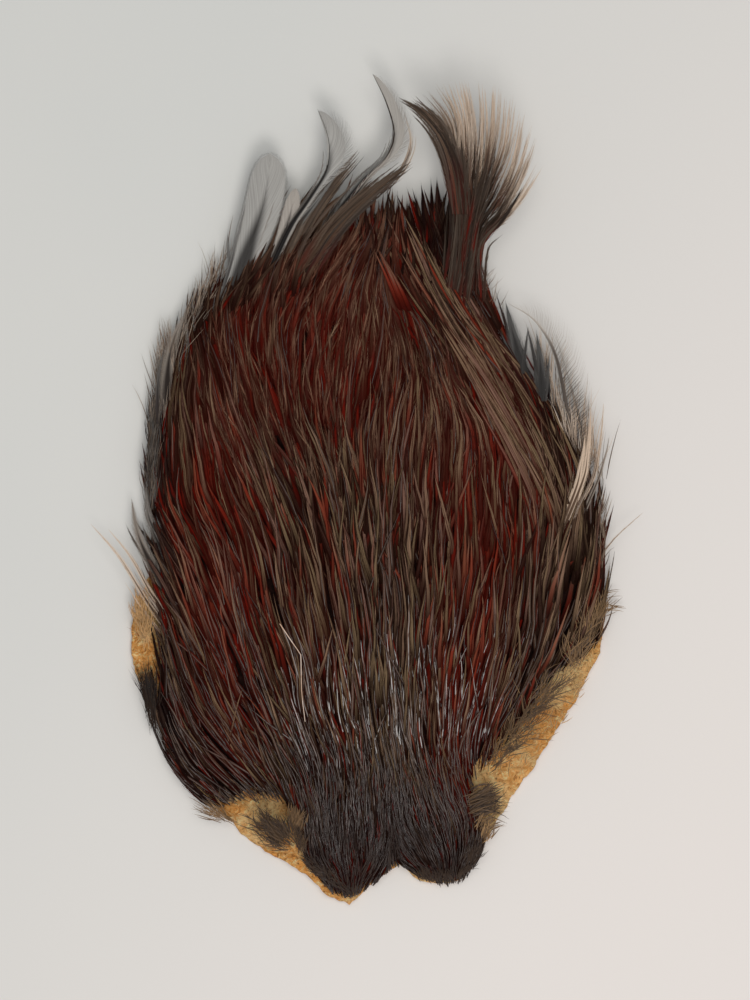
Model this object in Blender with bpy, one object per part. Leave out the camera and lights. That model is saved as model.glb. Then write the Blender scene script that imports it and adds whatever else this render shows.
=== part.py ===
"""A rooster cape: the dried neck skin of a rooster with its hackle feathers on it.

The cape lies skin down. X runs across it, +Y from the narrow head end to the
wide end where the longest feathers reach, and +Z up from the table. Lengths
are in millimetres and become metres where a mesh is made.
"""

import math

import bmesh
import bpy
from mathutils import Vector

MM = 0.001

# Driving dimensions
SKIN_THICKNESS = 1.0
CLEARANCE = 0.35
MOUND_HEIGHT = 17.0
HEAD_HEIGHT = 6.0
RIM_HEIGHT = 3.2
RISE_ENDS = 0.42
FALL_STARTS = 0.7
WIDE_END_FALL = 9.0
FEATHER_FLOOR = SKIN_THICKNESS + CLEARANCE
BLADE_FLOOR = FEATHER_FLOOR + 0.2

# The skin's outline, from the tip of the head end round by the left.
SKIN_OUTLINE = [
    (-6, -149), (-14, -145), (-23, -137), (-37, -129), (-52, -118), (-63, -108),
    (-73, -94), (-79, -78), (-84, -61), (-84, -43), (-81, -25), (-78, -3),
    (-72, 18), (-64, 38), (-54, 52), (-40, 62), (-20, 68), (5, 70),
    (30, 64), (50, 50), (65, 31), (76, 6), (82, -18), (87, -39),
    (84, -57), (74, -77), (64, -93), (54, -108), (45, -122), (37, -134),
    (31, -141), (19, -140), (12, -135), (3, -141),
]

# The four edges of the feathered area. The sides run from the head end up.
LEFT_EDGE = [
    (-17, -139), (-21, -129), (-29, -121), (-41, -114), (-54, -107), (-66, -98),
    (-73, -87), (-75, -73), (-75, -55), (-78, -37), (-81, -21), (-78, -3),
    (-77, 18), (-73, 43), (-63, 62), (-54, 80), (-44, 92),
]
RIGHT_EDGE = [
    (40, -138), (44, -126), (41, -113), (44, -100), (55, -90), (71, -74),
    (83, -54), (88, -36), (87, -16), (84, 2), (78, 20), (71, 37),
    (60, 54), (50, 69), (42, 82),
]
HEAD_EDGE = [
    (-17, -139), (-12, -144), (-6, -146), (3, -141), (11, -135), (19, -139),
    (28, -142), (35, -141), (40, -138),
]
WIDE_EDGE = [(-44, 92), (-24, 105), (-6, 112), (12, 111), (23, 104), (33, 94), (42, 82)]

# Rows of locks: how far up the cape they root, how many, their length and width.
LOCK_ROWS = [
    (0.80, 9, 58, 17),
    (0.64, 9, 66, 19),
    (0.48, 9, 62, 20),
    (0.33, 9, 56, 20),
    (0.19, 8, 46, 18),
    (0.07, 7, 32, 13),
    (0.01, 6, 22, 9),
]
LOCK_THICKNESS = 6.5
LOCK_SINK = 0.9

# Hackles that sweep across the others, low on the right to high in the middle:
# points from root to tip, and width.
SWEPT_HACKLES = [
    ([(74, 4, 8), (56, 38, 11), (38, 62, 11), (22, 88, 9)], 12),
    ([(66, 0, 11), (47, 38, 14), (29, 66, 13), (13, 92, 11)], 12),
    ([(58, 4, 13), (38, 40, 15), (20, 70, 14), (4, 95, 11)], 11),
]
SWEPT_THICKNESS = 10.0

# The crest: a stem that widens, and the tips that fan from it. They share one
# height, which climbs from the root.
CREST_STEM = ([(36, 66), (36, 84), (37, 104), (36, 124)], 27)
CREST_TIPS = [
    ([(33, 92), (29, 112), (23, 130), (11, 140)], 9),
    ([(34, 94), (32, 113), (29, 131), (20, 143)], 9),
    ([(35, 96), (35, 115), (34, 132), (29, 146)], 10),
    ([(37, 96), (39, 115), (41, 132), (40, 145)], 10),
    ([(38, 95), (43, 111), (47, 126), (49, 139)], 9),
    ([(39, 93), (46, 106), (52, 118), (55, 130)], 8),
    ([(40, 90), (47, 99), (53, 107), (57, 117)], 7),
]
CREST_ROOT_HEIGHT = 9.0
CREST_RISE = 15.0

# Long feathers that stand clear of the rest: points from root to tip, and width.
PLUMES = {
    "fan_plume": ([(-44, 66, 9), (-40, 88, 11), (-36, 106, 12), (-34, 121, 12)], 17),
    "broad_plume": ([(-31, 78, 10.5), (-18, 103, 10.5), (-3, 122, 11)], 10),
    "forked_plume": ([(-24, 84, 11.5), (-14, 107, 14), (-12, 122, 15), (-17, 136, 14)], 12),
    "tall_plume": ([(-6, 90, 11.5), (9, 110, 14.5), (12, 130, 15.5), (3, 149, 14)], 8),
    "short_plume": ([(-4, 80, 12.5), (7, 100, 17.5), (17, 117, 18.5)], 7),
    "left_wisp": ([(-70, -42, 9), (-82, -26, 8), (-99, -13, 6)], 4),
    "left_tuft": ([(-73, -30, 9), (-83, -16, 8), (-86, -2, 6)], 6),
    "left_shoulder": ([(-70, 30, 9), (-72, 50, 8), (-64, 66, 7)], 9),
    "right_shoulder": ([(75, 18, 9), (71, 40, 10), (63, 56, 10), (51, 67, 9)], 7),
    "right_fringe": ([(80, 8, 7), (77, 28, 8), (73, 47, 8), (65, 62, 7)], 6),
    "right_wisp": ([(72, -10, 12), (80, 11, 10), (84, 28, 8)], 6),
    "right_stray": ([(76, -28, 9), (88, -19, 8), (99, -9, 6)], 3),
}

# A loose straw-coloured shaft that lies across the hackles.
QUILL_PATH = [(-31, -47, 18), (-23, -59, 18), (-22, -71, 18), (-20, -81, 18)]
QUILL_RADIUS = 0.45

BLADE_SIDES = 4
BLADE_RINGS = 8
MOUND_CUTS_ACROSS = 11
MOUND_CUTS_ALONG = 21

# Colours and roughness of the materials
HIDE = ((0.62, 0.36, 0.15), 0.8)
DARK_HACKLE = ((0.085, 0.045, 0.03), 0.45)
TAUPE_HACKLE = ((0.16, 0.12, 0.09), 0.45)
STRAW = ((0.7, 0.52, 0.36), 0.5)


# Curves through points

def spline(points, t):
    """A point of the Catmull-Rom curve through points, with t from 0 to 1.
    Beyond its ends the curve goes on straight."""
    points = [Vector(p) for p in points]
    last = len(points) - 1
    if t < 0 or t > 1:
        end, inner = (points[0], points[1]) if t < 0 else (points[-1], points[-2])
        return end + (end - inner) * last * (-t if t < 0 else t - 1)
    i = min(int(t * last), last - 1)
    f = t * last - i
    b, c = points[i], points[i + 1]
    a = points[i - 1] if i else b * 2 - c
    d = points[i + 2] if i + 2 <= last else c * 2 - b
    bend = (a * 2 - b * 5 + c * 4 - d) * f * f + (b * 3 - a - c * 3 + d) * f ** 3
    return b + ((c - a) * f + bend) / 2


def resampled(points, count):
    """count points at even spacing along the curve through points."""
    return [spline(points, i / (count - 1)) for i in range(count)]


# The feathered mound

def plan(u, v):
    """The place on the table of a point of the feathered area: a patch between
    its four edges. u runs from the left edge to the right, and v from the head
    end to the wide end, which is the way that the feathers lie."""
    left, right = spline(LEFT_EDGE, v), spline(RIGHT_EDGE, v)
    sides = left.lerp(right, u)
    inside_v = min(max(v, 0.0), 1.0)
    head_bulge = spline(HEAD_EDGE, u) - Vector(HEAD_EDGE[0]).lerp(Vector(HEAD_EDGE[-1]), u)
    wide_bulge = spline(WIDE_EDGE, u) - Vector(WIDE_EDGE[0]).lerp(Vector(WIDE_EDGE[-1]), u)
    return sides + head_bulge * (1 - inside_v) ** 3 + wide_bulge * inside_v ** 2


def mound_height(u, v):
    """The height of the feather mass above the table."""
    v = min(max(v, 0.0), 1.0)
    rise = min(v / RISE_ENDS, 1.0)
    ridge = HEAD_HEIGHT + (MOUND_HEIGHT - HEAD_HEIGHT) * math.sin(rise * math.pi / 2)
    fall = max(v - FALL_STARTS, 0.0) / (1 - FALL_STARTS)
    ridge -= WIDE_END_FALL * fall ** 1.5
    across = abs(2 * u - 1) ** 2.6
    crown = math.sqrt(max(1 - across, 0.0))
    rounding = math.sqrt(min(v / 0.05, 1.0))
    return RIM_HEIGHT + (ridge - RIM_HEIGHT) * crown * rounding


def steps_along(v, length, u):
    """How far up the cape in v a feather of that length reaches from v."""
    step = 0.01
    return length * step / (plan(u, v + step) - plan(u, v)).length


# Building blocks

def material(name, look):
    colour, roughness = look
    made = bpy.data.materials.new(name)
    made.use_nodes = True
    surface = made.node_tree.nodes["Principled BSDF"]
    surface.inputs["Base Color"].default_value = (*colour, 1)
    surface.inputs["Roughness"].default_value = roughness
    surface.inputs["Metallic"].default_value = 0.0
    made.diffuse_color = (*colour, 1)
    return made


def new_collection(name):
    made = bpy.data.collections.new(name)
    bpy.context.scene.collection.children.link(made)
    return made


def as_object(name, bm, collection, look=None):
    bmesh.ops.scale(bm, vec=(MM, MM, MM), verts=bm.verts)
    mesh = bpy.data.meshes.new(name)
    bm.to_mesh(mesh)
    bm.free()
    if look:
        mesh.materials.append(material(name, look))
    made = bpy.data.objects.new(name, mesh)
    collection.objects.link(made)
    return made


def as_helper(obj):
    obj.hide_render = True
    obj.display_type = "WIRE"
    return obj


def combine(obj, helpers, operation):
    boolean = obj.modifiers.new(operation.lower(), "BOOLEAN")
    boolean.operation = operation
    boolean.operand_type = "COLLECTION"
    boolean.collection = helpers
    boolean.solver = "EXACT"
    return obj


def feather_outline(t):
    """The width of a feather along its length, as a share of its widest."""
    return min(1.0, 0.35 + 2.6 * t) * (1 - t ** 2.4) ** 0.8


def fan_outline(t):
    """As feather_outline, for a feather that is widest near its round end."""
    return (0.3 + 0.7 * t ** 1.2) * (1 - t ** 7) ** 0.6


def along(points):
    """The curve through points, as a function of t from 0 to 1."""
    return lambda t: spline(points, t)


def blade(name, path, width, collection, look=None, thickness=2.4, grow=0.0,
          outline=feather_outline):
    """One feather or lock of feathers: a ball drawn out along path, flat
    across, with a ridge down its middle and a point at its tip."""
    bm = bmesh.new()
    bmesh.ops.create_uvsphere(bm, u_segments=BLADE_SIDES, v_segments=BLADE_RINGS, radius=1)
    for vertex in bm.verts:
        height = min(max(vertex.co.z, -1.0), 1.0)
        t = 1 - math.acos(height) / math.pi
        ring = math.hypot(vertex.co.x, vertex.co.y)
        across, up = (vertex.co.x / ring, vertex.co.y / ring) if ring > 1e-4 else (0, 0)
        forward = (path(t + 0.02) - path(t - 0.02)).normalized()
        side = Vector((0, 0, 1)).cross(forward).normalized()
        above = forward.cross(side)
        wide = width * outline(t) / 2 + grow
        thick = thickness * (1 - 0.55 * t) / 2 + grow
        end = forward * grow * 3 * (2 * t - 1) if ring <= 1e-4 else Vector()
        middle = path(t)
        vertex.co = middle + side * across * wide + above * up * thick + end
        lowest = BLADE_FLOOR + (middle.z - BLADE_FLOOR) * 0.2
        vertex.co.z = max(vertex.co.z, lowest)
    return as_object(name, bm, collection, look)


# The pieces of the cape

def make_skin(cape):
    """The dried skin: a flat sheet with the outline that it was cut to."""
    curve = bpy.data.curves.new("skin", "CURVE")
    curve.dimensions = "2D"
    curve.fill_mode = "BOTH"
    curve.extrude = SKIN_THICKNESS * MM / 2
    outline = curve.splines.new("POLY")
    points = resampled(SKIN_OUTLINE + SKIN_OUTLINE[:1], 2 * len(SKIN_OUTLINE) + 1)[:-1]
    outline.points.add(len(points) - 1)
    for place, point in zip(outline.points, points):
        place.co = (point.x * MM, point.y * MM, 0, 1)
    outline.use_cyclic_u = True
    curve.materials.append(material("skin", HIDE))
    skin = bpy.data.objects.new("skin", curve)
    skin.location.z = SKIN_THICKNESS * MM / 2
    cape.objects.link(skin)
    return skin


def make_mound(cape):
    """The mass of the feathers under the locks: a block drawn out to the
    feathered area, with a flat floor just clear of the skin."""
    bm = bmesh.new()
    bmesh.ops.create_cube(bm, size=2)
    for axis, cuts in ((0, MOUND_CUTS_ACROSS), (1, MOUND_CUTS_ALONG)):
        full = [e for e in bm.edges if abs((e.verts[0].co - e.verts[1].co)[axis]) > 1.99]
        bmesh.ops.subdivide_edges(bm, edges=full, cuts=cuts, use_grid_fill=True)
    for vertex in bm.verts:
        u, v = (vertex.co.x + 1) / 2, (vertex.co.y + 1) / 2
        height = mound_height(u, v) if vertex.co.z > 0 else FEATHER_FLOOR
        vertex.co = (*plan(u, v), height)
    return as_object("hackles", bm, cape, DARK_HACKLE)


def lock_path(u, v, length):
    """The way of a lock that lies along the mound from u, v, with its edges
    just under the mound's surface."""
    reach = steps_along(v, length, u)
    points = []
    for s in (0.0, 0.33, 0.67, 1.0):
        place = plan(u, v + reach * s)
        top = mound_height(u, v + reach * s)
        points.append((place.x, place.y, max(top - LOCK_SINK, FEATHER_FLOOR + 1.0)))
    return along(points)


def make_locks(locks):
    """The rows of locks, each row half a lock out of step with the next, and
    the hackles that sweep across them."""
    for row, (v, count, length, width) in enumerate(LOCK_ROWS):
        shift = 0.2 if row % 2 else 0.0
        for i in range(count):
            u = 0.03 + 0.94 * (i + shift) / (count - 1 + 0.2)
            stagger = 0.018 * math.sin(5.1 * i + 2.3 * row)
            reach = length * (1 + 0.08 * math.sin(3.7 * i + row))
            path = lock_path(u, v + stagger, reach)
            as_helper(blade(f"lock_{row}_{i}", path, width, locks, thickness=LOCK_THICKNESS))
    for i, (points, width) in enumerate(SWEPT_HACKLES):
        as_helper(blade(f"swept_{i}", along(points), width, locks, thickness=SWEPT_THICKNESS))


def crest_path(points):
    """The way of a part of the crest, at the crest's height."""
    root = CREST_STEM[0][0][1]

    def path(t):
        place = spline(points, t)
        climb = math.sin(min(max((place.y - root) / 70, 0.0), 1.0) * math.pi / 2)
        return Vector((place.x, place.y, CREST_ROOT_HEIGHT + CREST_RISE * climb))

    return path


def make_crest(cape, sockets):
    """The clump of long feathers that stands over the wide end."""
    joined = new_collection("crest_tips")
    for i, (points, width) in enumerate(CREST_TIPS):
        as_helper(blade(f"crest_tip_{i}", crest_path(points), width, joined, thickness=3.0))
    points, width = CREST_STEM
    shape = dict(outline=fan_outline, thickness=4.0)
    path = crest_path(points)
    as_helper(blade("crest_socket", path, width, sockets, grow=CLEARANCE, **shape))
    stem = blade("crest", path, width, cape, TAUPE_HACKLE, **shape)
    return combine(stem, joined, "UNION")


def make_plume(name, points, width, cape, sockets):
    outline = fan_outline if name == "fan_plume" else feather_outline
    shape = dict(outline=outline, thickness=1.8)
    path = along(points)
    as_helper(blade(name + "_socket", path, width, sockets, grow=CLEARANCE, **shape))
    return blade(name, path, width, cape, TAUPE_HACKLE, **shape)


def make_stray_quill(cape):
    curve = bpy.data.curves.new("stray_quill", "CURVE")
    curve.dimensions = "3D"
    curve.bevel_depth = QUILL_RADIUS * MM
    curve.bevel_resolution = 2
    curve.use_fill_caps = True
    line = curve.splines.new("POLY")
    points = resampled(QUILL_PATH, 10)
    line.points.add(len(points) - 1)
    for place, point in zip(line.points, points):
        place.co = (*(point * MM), 1)
    curve.materials.append(material("stray_quill", STRAW))
    quill = bpy.data.objects.new("stray_quill", curve)
    cape.objects.link(quill)
    return quill


def clear_scene():
    for obj in list(bpy.data.objects):
        bpy.data.objects.remove(obj)


def main():
    clear_scene()
    cape = new_collection("rooster_cape")
    locks = new_collection("locks")
    sockets = new_collection("sockets")
    make_skin(cape)
    hackles = make_mound(cape)
    make_locks(locks)
    make_crest(cape, sockets)
    for name, (points, width) in PLUMES.items():
        make_plume(name, points, width, cape, sockets)
    combine(hackles, locks, "UNION")
    combine(hackles, sockets, "DIFFERENCE")
    make_stray_quill(cape)


main()
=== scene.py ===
"""The looks of the rooster cape: its hackles, crest, loose plumes and skin.

Lengths are in millimetres in the cape's frame, and become metres where a mesh
is made. +Y runs from the narrow head end to the long feather tips. A lean is
in degrees from +Y, and is positive to the left.
"""

import math

import bpy
import numpy as np
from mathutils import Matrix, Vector
from mathutils.bvhtree import BVHTree


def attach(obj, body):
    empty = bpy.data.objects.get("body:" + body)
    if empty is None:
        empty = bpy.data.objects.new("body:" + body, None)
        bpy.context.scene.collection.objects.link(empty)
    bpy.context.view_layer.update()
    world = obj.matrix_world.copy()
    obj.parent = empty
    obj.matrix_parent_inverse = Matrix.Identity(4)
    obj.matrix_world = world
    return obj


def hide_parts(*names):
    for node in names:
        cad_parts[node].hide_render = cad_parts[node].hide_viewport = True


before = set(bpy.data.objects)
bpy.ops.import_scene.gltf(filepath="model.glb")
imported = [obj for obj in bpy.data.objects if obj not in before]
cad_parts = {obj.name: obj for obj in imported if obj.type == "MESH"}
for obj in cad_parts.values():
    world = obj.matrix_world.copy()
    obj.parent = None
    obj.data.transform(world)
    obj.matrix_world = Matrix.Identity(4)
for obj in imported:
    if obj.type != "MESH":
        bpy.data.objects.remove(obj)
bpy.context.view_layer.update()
rng = np.random.default_rng(11)

MM = 0.001
UP = np.array([0.0, 0.0, 1.0])

# The area that the feathers cover, from the head end round by the left.
PLUMAGE_OUTLINE = [
    (-6, -147), (-12, -145), (-18, -139), (-22, -131), (-24, -120), (-30, -112),
    (-37, -109), (-45, -111), (-54, -115), (-61, -110), (-68, -102), (-75, -91),
    (-78, -80), (-77, -66), (-75, -55), (-77, -40), (-81, -21), (-78, -3),
    (-77, 18), (-73, 43), (-62, 62), (-51, 78), (-39, 89), (-25, 101), (-6, 108),
    (10, 104), (23, 102), (33, 94), (40, 80), (45, 66), (53, 52), (62, 41),
    (68, 32), (74, 18), (81, 5), (86, -11), (88, -25), (87, -36), (86, -46),
    (82, -57), (75, -62), (68, -66), (62, -74), (58, -81), (50, -91), (41, -101), (38, -108),
    (40, -117), (42, -127), (39, -136), (34, -141), (27, -142), (19, -139), (11, -135), (3, -142),
]
SKIN_OUTLINE = [
    (-6, -149), (-14, -145), (-23, -137), (-37, -129), (-51, -117), (-61, -106),
    (-71, -92), (-77, -77), (-84, -61), (-83, -43), (-76, -25), (-73, -3),
    (-72, 18), (-64, 38), (-54, 52), (-40, 62), (-20, 68), (5, 70),
    (30, 64), (45, 48), (58, 30), (70, 6), (78, -18), (85, -40),
    (84, -57), (74, -77), (64, -93), (54, -108), (45, -122), (37, -134),
    (31, -141), (19, -140), (12, -135), (3, -141),
]

# How the feathers lean, as x, y and lean at places on the cape.
LEANS = np.array([
    (-42, 58, 17), (-27, 18, 25), (-15, 44, -14), (-49, 78, -22), (-38, 78, -22),
    (-30, 84, -30), (-18, 92, -36), (-8, 100, -38), (-2, 88, -36), (-14, 80, -30),
    (-75, 33, -8), (-76, 11, 0), (-60, 15, 13), (-24, 69, -14), (-35, 36, 12),
    (-63, -18, 28), (-56, -39, 20), (-45, -57, 19), (-31, -25, 10), (-24, -10, 20),
    (-9, -39, 12), (-67, -50, 23), (-80, -39, 24), (-6, -61, 6), (-2, -3, 2),
    (-75, -75, 6), (-73, -88, 14), (-67, -99, 42), (-56, -108, 62), (-60, -75, 21),
    (-51, -93, 37), (-42, -104, 52), (-35, -90, 28), (-35, -108, 40), (-24, -93, 14),
    (-24, -111, 22), (-13, -104, 4), (-17, -138, 48), (-20, -128, 14), (-22, -120, 0),
    (-12, -143, 40), (-9, -136, 14), (-5, -144, 0), (-5, -130, 0), (1, -143, -40),
    (4, -136, -34), (6, -129, -12), (-8, -119, 0), (1, -111, 2), (41, 36, 35), (27, 62, 38),
    (16, 80, 30), (50, 53, 27), (63, 18, 18), (71, 4, 12), (12, 22, -12), (23, 15, 3),
    (23, 44, 6), (37, 0, -3), (48, -3, -2), (58, -10, 4), (19, -39, -1),
    (30, -57, -5), (41, -68, -11), (48, -46, -5), (63, -57, -14), (68, -28, -6),
    (76, -14, -20), (82, -28, -3), (74, -68, -36), (59, -75, -28), (48, -77, -16),
    (12, -75, 3), (19, -97, 14), (28, -102, 22), (32, -84, 2), (42, -88, -17),
    (50, -90, -36), (35, -111, 27), (28, -141, 5), (22, -140, 55), (15, -136, 60),
    (19, -131, 32), (26, -132, 14), (34, -138, -22), (39, -131, -28), (36, -123, 6),
    (23, -121, 24),
    (10, -111, 8), (79, -46, -15), (1, 58, 0), (5, 94, 12), (41, 94, 2),
], float)
LEAN_REACH = (4.5, 11.0)

# Patches of colour and density, and of painted glint and painted sheen, as x, y, radius across,
# radius along and strength.
RED_PATCHES = [
    (-30, 62, 26, 34, 0.75), (-54, -30, 15, 26, 0.8), (-8, 70, 18, 30, 0.6),
    (43, 22, 17, 40, 0.6), (38, -50, 17, 45, 0.5), (11, 80, 6, 12, 0.9),
    (-55, 10, 15, 30, 0.5), (-52, -78, 12, 26, 0.5), (-18, -45, 14, 40, 0.3),
    (-4, -138, 9, 12, 0.4), (36, -92, 9, 22, 0.6), (12, 30, 20, 30, 0.35),
]
DARK_PATCHES = [
    (6, -118, 34, 26, 0.9), (-62, -94, 22, 16, 0.3), (-78, 12, 8, 34, 0.9),
    (-76, -80, 9, 26, 0.15), (60, -78, 14, 14, 0.6), (-2, 95, 9, 9, 0.95), (-18, -94, 16, 10, 0.8),
    (-35, -44, 6, 8, 0.8), (52, 10, 14, 30, 0.3),
    (66, 42, 9, 12, 0.7), (30, -136, 16, 12, 0.8), (-10, -140, 14, 10, 0.8),
]
PALE_PATCHES = [(78, -50, 10, 14, 0.9), (64, -70, 8, 10, 0.5), (72, -22, 5, 10, 0.6)]
DENSE_PATCHES = [(83, -20, 8, 20, 1.0), (5, -22, 14, 18, 1.0), (-40, 50, 14, 18, 0.5),
                 (10, 20, 14, 16, 0.5)]
# Painted sheen: lighter tone about the band near the head end where the sheen falls, and a little
# lighter about the middle.
PAINTED_SHEEN_AND_LIGHTER_PATCHES = [(4, -75, 42, 24, 0.6), (2, 0, 26, 30, 0.25)]
# Painted highlight: where the hackles' shafts are painted near white as glints.
PAINTED_GLINT_PATCHES = [(-8, -70, 28, 18, 0.9), (-16, -90, 18, 9, 0.35), (20, -68, 26, 20, 0.9),
                 (44, -62, 10, 24, 0.6), (2, -114, 22, 12, 0.4)]
COOL_PATCHES = [
    (-10, -130, 26, 24, 0.85), (-78, 12, 8, 36, 1.0), (-74, -84, 12, 28, 0.7),
    (-60, -105, 16, 10, 0.7), (30, -138, 18, 12, 1.0), (64, 44, 10, 14, 1.0),
    (-40, 96, 14, 20, 0.8),
]


# Curves, patches and the lie of the feathers

def spline(points, t):
    """Points of the Catmull-Rom curve through points, with t from 0 to 1."""
    points = np.asarray(points, float)
    last = len(points) - 1
    t = np.clip(np.asarray(t, float), 0, 1) * last
    i = np.minimum(t.astype(int), last - 1)
    f = (t - i)[..., None]
    ends = (2 * points[0] - points[1], 2 * points[-1] - points[-2])
    padded = np.vstack([ends[0], points, ends[1]])
    a, b, c, d = padded[i], padded[i + 1], padded[i + 2], padded[i + 3]
    bend = (2 * a - 5 * b + 4 * c - d) * f ** 2 + (3 * b - a - 3 * c + d) * f ** 3
    return b + ((c - a) * f + bend) / 2


def smooth(x, low=0.0, high=1.0):
    x = np.clip((x - low) / (high - low), 0, 1)
    return x * x * (3 - 2 * x)


def unit(vectors):
    return vectors / np.maximum(np.linalg.norm(vectors, axis=-1, keepdims=True), 1e-9)


def patches_at(patches, x, y):
    """How strongly patches cover places, from 0 to 1."""
    left = np.ones_like(x)
    for px, py, across, along, strength in patches:
        reach = ((x - px) / across) ** 2 + ((y - py) / along) ** 2
        left = left * (1 - strength * np.exp(-reach))
    return 1 - left


def waves(x, y, size, turn):
    """Smooth wandering values between about -1 and 1, at a scale of size."""
    k = 2 * math.pi / size
    return (
        np.sin(k * (x * 0.9 + y * 0.3) + turn) + np.sin(k * (x * 0.5 - y * 0.8) + turn * 2.3)
        + np.sin(k * 1.7 * (x * 0.2 + y * 0.7) + turn * 0.7)
    ) / 2.2


def lean_at(x, y):
    """The lean of the feathers at places on the cape, in degrees."""
    dx = x[..., None] - LEANS[:, 0]
    dy = y[..., None] - LEANS[:, 1]
    d2 = dx * dx + dy * dy
    reach = np.interp(y, (-128, -106), LEAN_REACH)[..., None]
    weight = np.exp(-d2 / (2 * reach ** 2)) + 1e-3 / (d2 + 25)
    return (weight * LEANS[:, 2]).sum(-1) / weight.sum(-1)


def outside(outline, x, y):
    """How far places lie outside an outline; negative inside it."""
    ring = spline(list(outline) + [outline[0]], np.linspace(0, 1, 3 * len(outline) + 1))
    a, b = ring[:-1], ring[1:]
    p = np.stack([x, y], -1)[..., None, :]
    along = ((p - a) * (b - a)).sum(-1) / ((b - a) ** 2).sum(-1)
    near = a + np.clip(along, 0, 1)[..., None] * (b - a)
    distance = np.sqrt(((p - near) ** 2).sum(-1)).min(-1)
    crosses = (a[:, 1] > p[..., 1]) != (b[:, 1] > p[..., 1])
    rise = np.where(b[:, 1] == a[:, 1], 1e-9, b[:, 1] - a[:, 1])
    at = a[:, 0] + (p[..., 1] - a[:, 1]) * (b[:, 0] - a[:, 0]) / rise
    inside = (crosses & (p[..., 0] < at)).sum(-1) % 2 == 1
    return np.where(inside, -distance, distance)


class Surface:
    """The height of the top of the cape's feather mass, read from its solid."""

    STEP = 2.0
    LOW = (-116.0, -168.0)
    COUNT = (117, 169)
    FALL = 0.8
    TABLE = 1.4
    GROWTHS, BLURS = 16, 2

    def __init__(self, node):
        graph = bpy.context.evaluated_depsgraph_get()
        tree = BVHTree.FromObject(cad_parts[node], graph)
        height = np.full(self.COUNT, np.nan)
        down = Vector((0, 0, -1))
        for i in range(self.COUNT[0]):
            for j in range(self.COUNT[1]):
                x = (self.LOW[0] + i * self.STEP) * MM
                y = (self.LOW[1] + j * self.STEP) * MM
                hit = tree.ray_cast(Vector((x, y, 0.2)), down)[0]
                if hit is not None:
                    height[i, j] = hit.z / MM
        for _ in range(self.GROWTHS):
            height = self.grown(height)
        height = np.where(np.isnan(height), self.TABLE, height)
        for _ in range(self.BLURS):
            height = self.blurred(height)
        self.height = height

    def neighbours(self, height):
        padded = np.pad(height, 1, mode="edge")
        n, m = height.shape
        return [padded[i:i + n, j:j + m] for i in range(3) for j in range(3)]

    def grown(self, height):
        """The heights, carried one step out, where they fall away to the table."""
        around = np.stack(self.neighbours(height))
        known = ~np.isnan(around)
        total = np.where(known, around, 0).sum(0)
        mean = total / np.maximum(known.sum(0), 1)
        fill = np.isnan(height) & known.any(0)
        return np.where(fill, np.maximum(mean - self.FALL, self.TABLE), height)

    def blurred(self, height):
        return np.stack(self.neighbours(height)).mean(0)

    def at(self, x, y):
        gx = np.clip((x - self.LOW[0]) / self.STEP, 0, self.COUNT[0] - 1.001)
        gy = np.clip((y - self.LOW[1]) / self.STEP, 0, self.COUNT[1] - 1.001)
        i, j = gx.astype(int), gy.astype(int)
        fx, fy = gx - i, gy - j
        h = self.height
        low = h[i, j] * (1 - fx) + h[i + 1, j] * fx
        high = h[i, j + 1] * (1 - fx) + h[i + 1, j + 1] * fx
        return low * (1 - fy) + high * fy

    def normal(self, x, y):
        dx = (self.at(x + 3, y) - self.at(x - 3, y)) / 6
        dy = (self.at(x, y + 3) - self.at(x, y - 3)) / 6
        return unit(np.stack([-dx, -dy, np.ones_like(x)], -1))


surface = Surface("hackles")


# Feathers as meshes

class Feathers:
    """Many feathers of one kind: their shafts, breadths and own values."""

    def __init__(self, shaft, normal, breadth, roll=None, skew=None, **values):
        self.shaft = shaft
        self.count, self.sections = shaft.shape[:2]
        self.t = np.linspace(0, 1, self.sections)
        self.breadth = breadth
        self.skew = np.zeros(self.count) if skew is None else skew
        self.values = values
        self.length = np.linalg.norm(np.diff(shaft, axis=1), axis=-1).sum(1)
        self.forward = unit(np.gradient(shaft, axis=1))
        side = unit(np.cross(self.forward, normal))
        up = np.cross(side, self.forward)
        roll = np.zeros(self.count) if roll is None else roll
        roll = roll[:, None, None]
        self.side = side * np.cos(roll) + up * np.sin(roll)
        self.up = np.cross(self.side, self.forward)

    def chosen(self, mask):
        """The feathers that mask picks."""
        some = object.__new__(Feathers)
        some.__dict__.update(self.__dict__)
        some.count = int(mask.sum())
        for name in ("shaft", "breadth", "skew", "length", "forward", "side", "up"):
            setattr(some, name, getattr(self, name)[mask])
        some.values = {name: value[mask] for name, value in self.values.items()}
        return some

    def read(self, lines, t):
        """Points of each feather's line, at t along it."""
        place = np.clip(t, 0, 1) * (self.sections - 1)
        i = np.minimum(place.astype(int), self.sections - 2)
        f = (place - i)[..., None]
        rows = np.arange(self.count)[:, None]
        return lines[rows, i] * (1 - f) + lines[rows, i + 1] * f

    def half(self, sign):
        """Each feather's breadth on one side of its shaft."""
        return self.breadth[:, None] / 2 * (1 + sign * self.skew[:, None])


def hackle_shape(t):
    """A hackle's breadth along it, as a share of its widest."""
    return np.minimum(1, 0.35 + 2.6 * t) * np.clip(1 - t ** 2.2, 0, 1) ** 0.9


def round_shape(t):
    """The same for a feather with a broad round end."""
    return (0.35 + 0.65 * t) * np.clip(1 - t ** 4, 0, 1) ** 0.6 * 1.2


def flag_shape(t):
    """The same for a feather that is bare but for its end."""
    return (0.16 + 0.84 * smooth(t, 0.42, 0.72)) * np.clip(1 - t ** 4, 0, 1) ** 0.6


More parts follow.
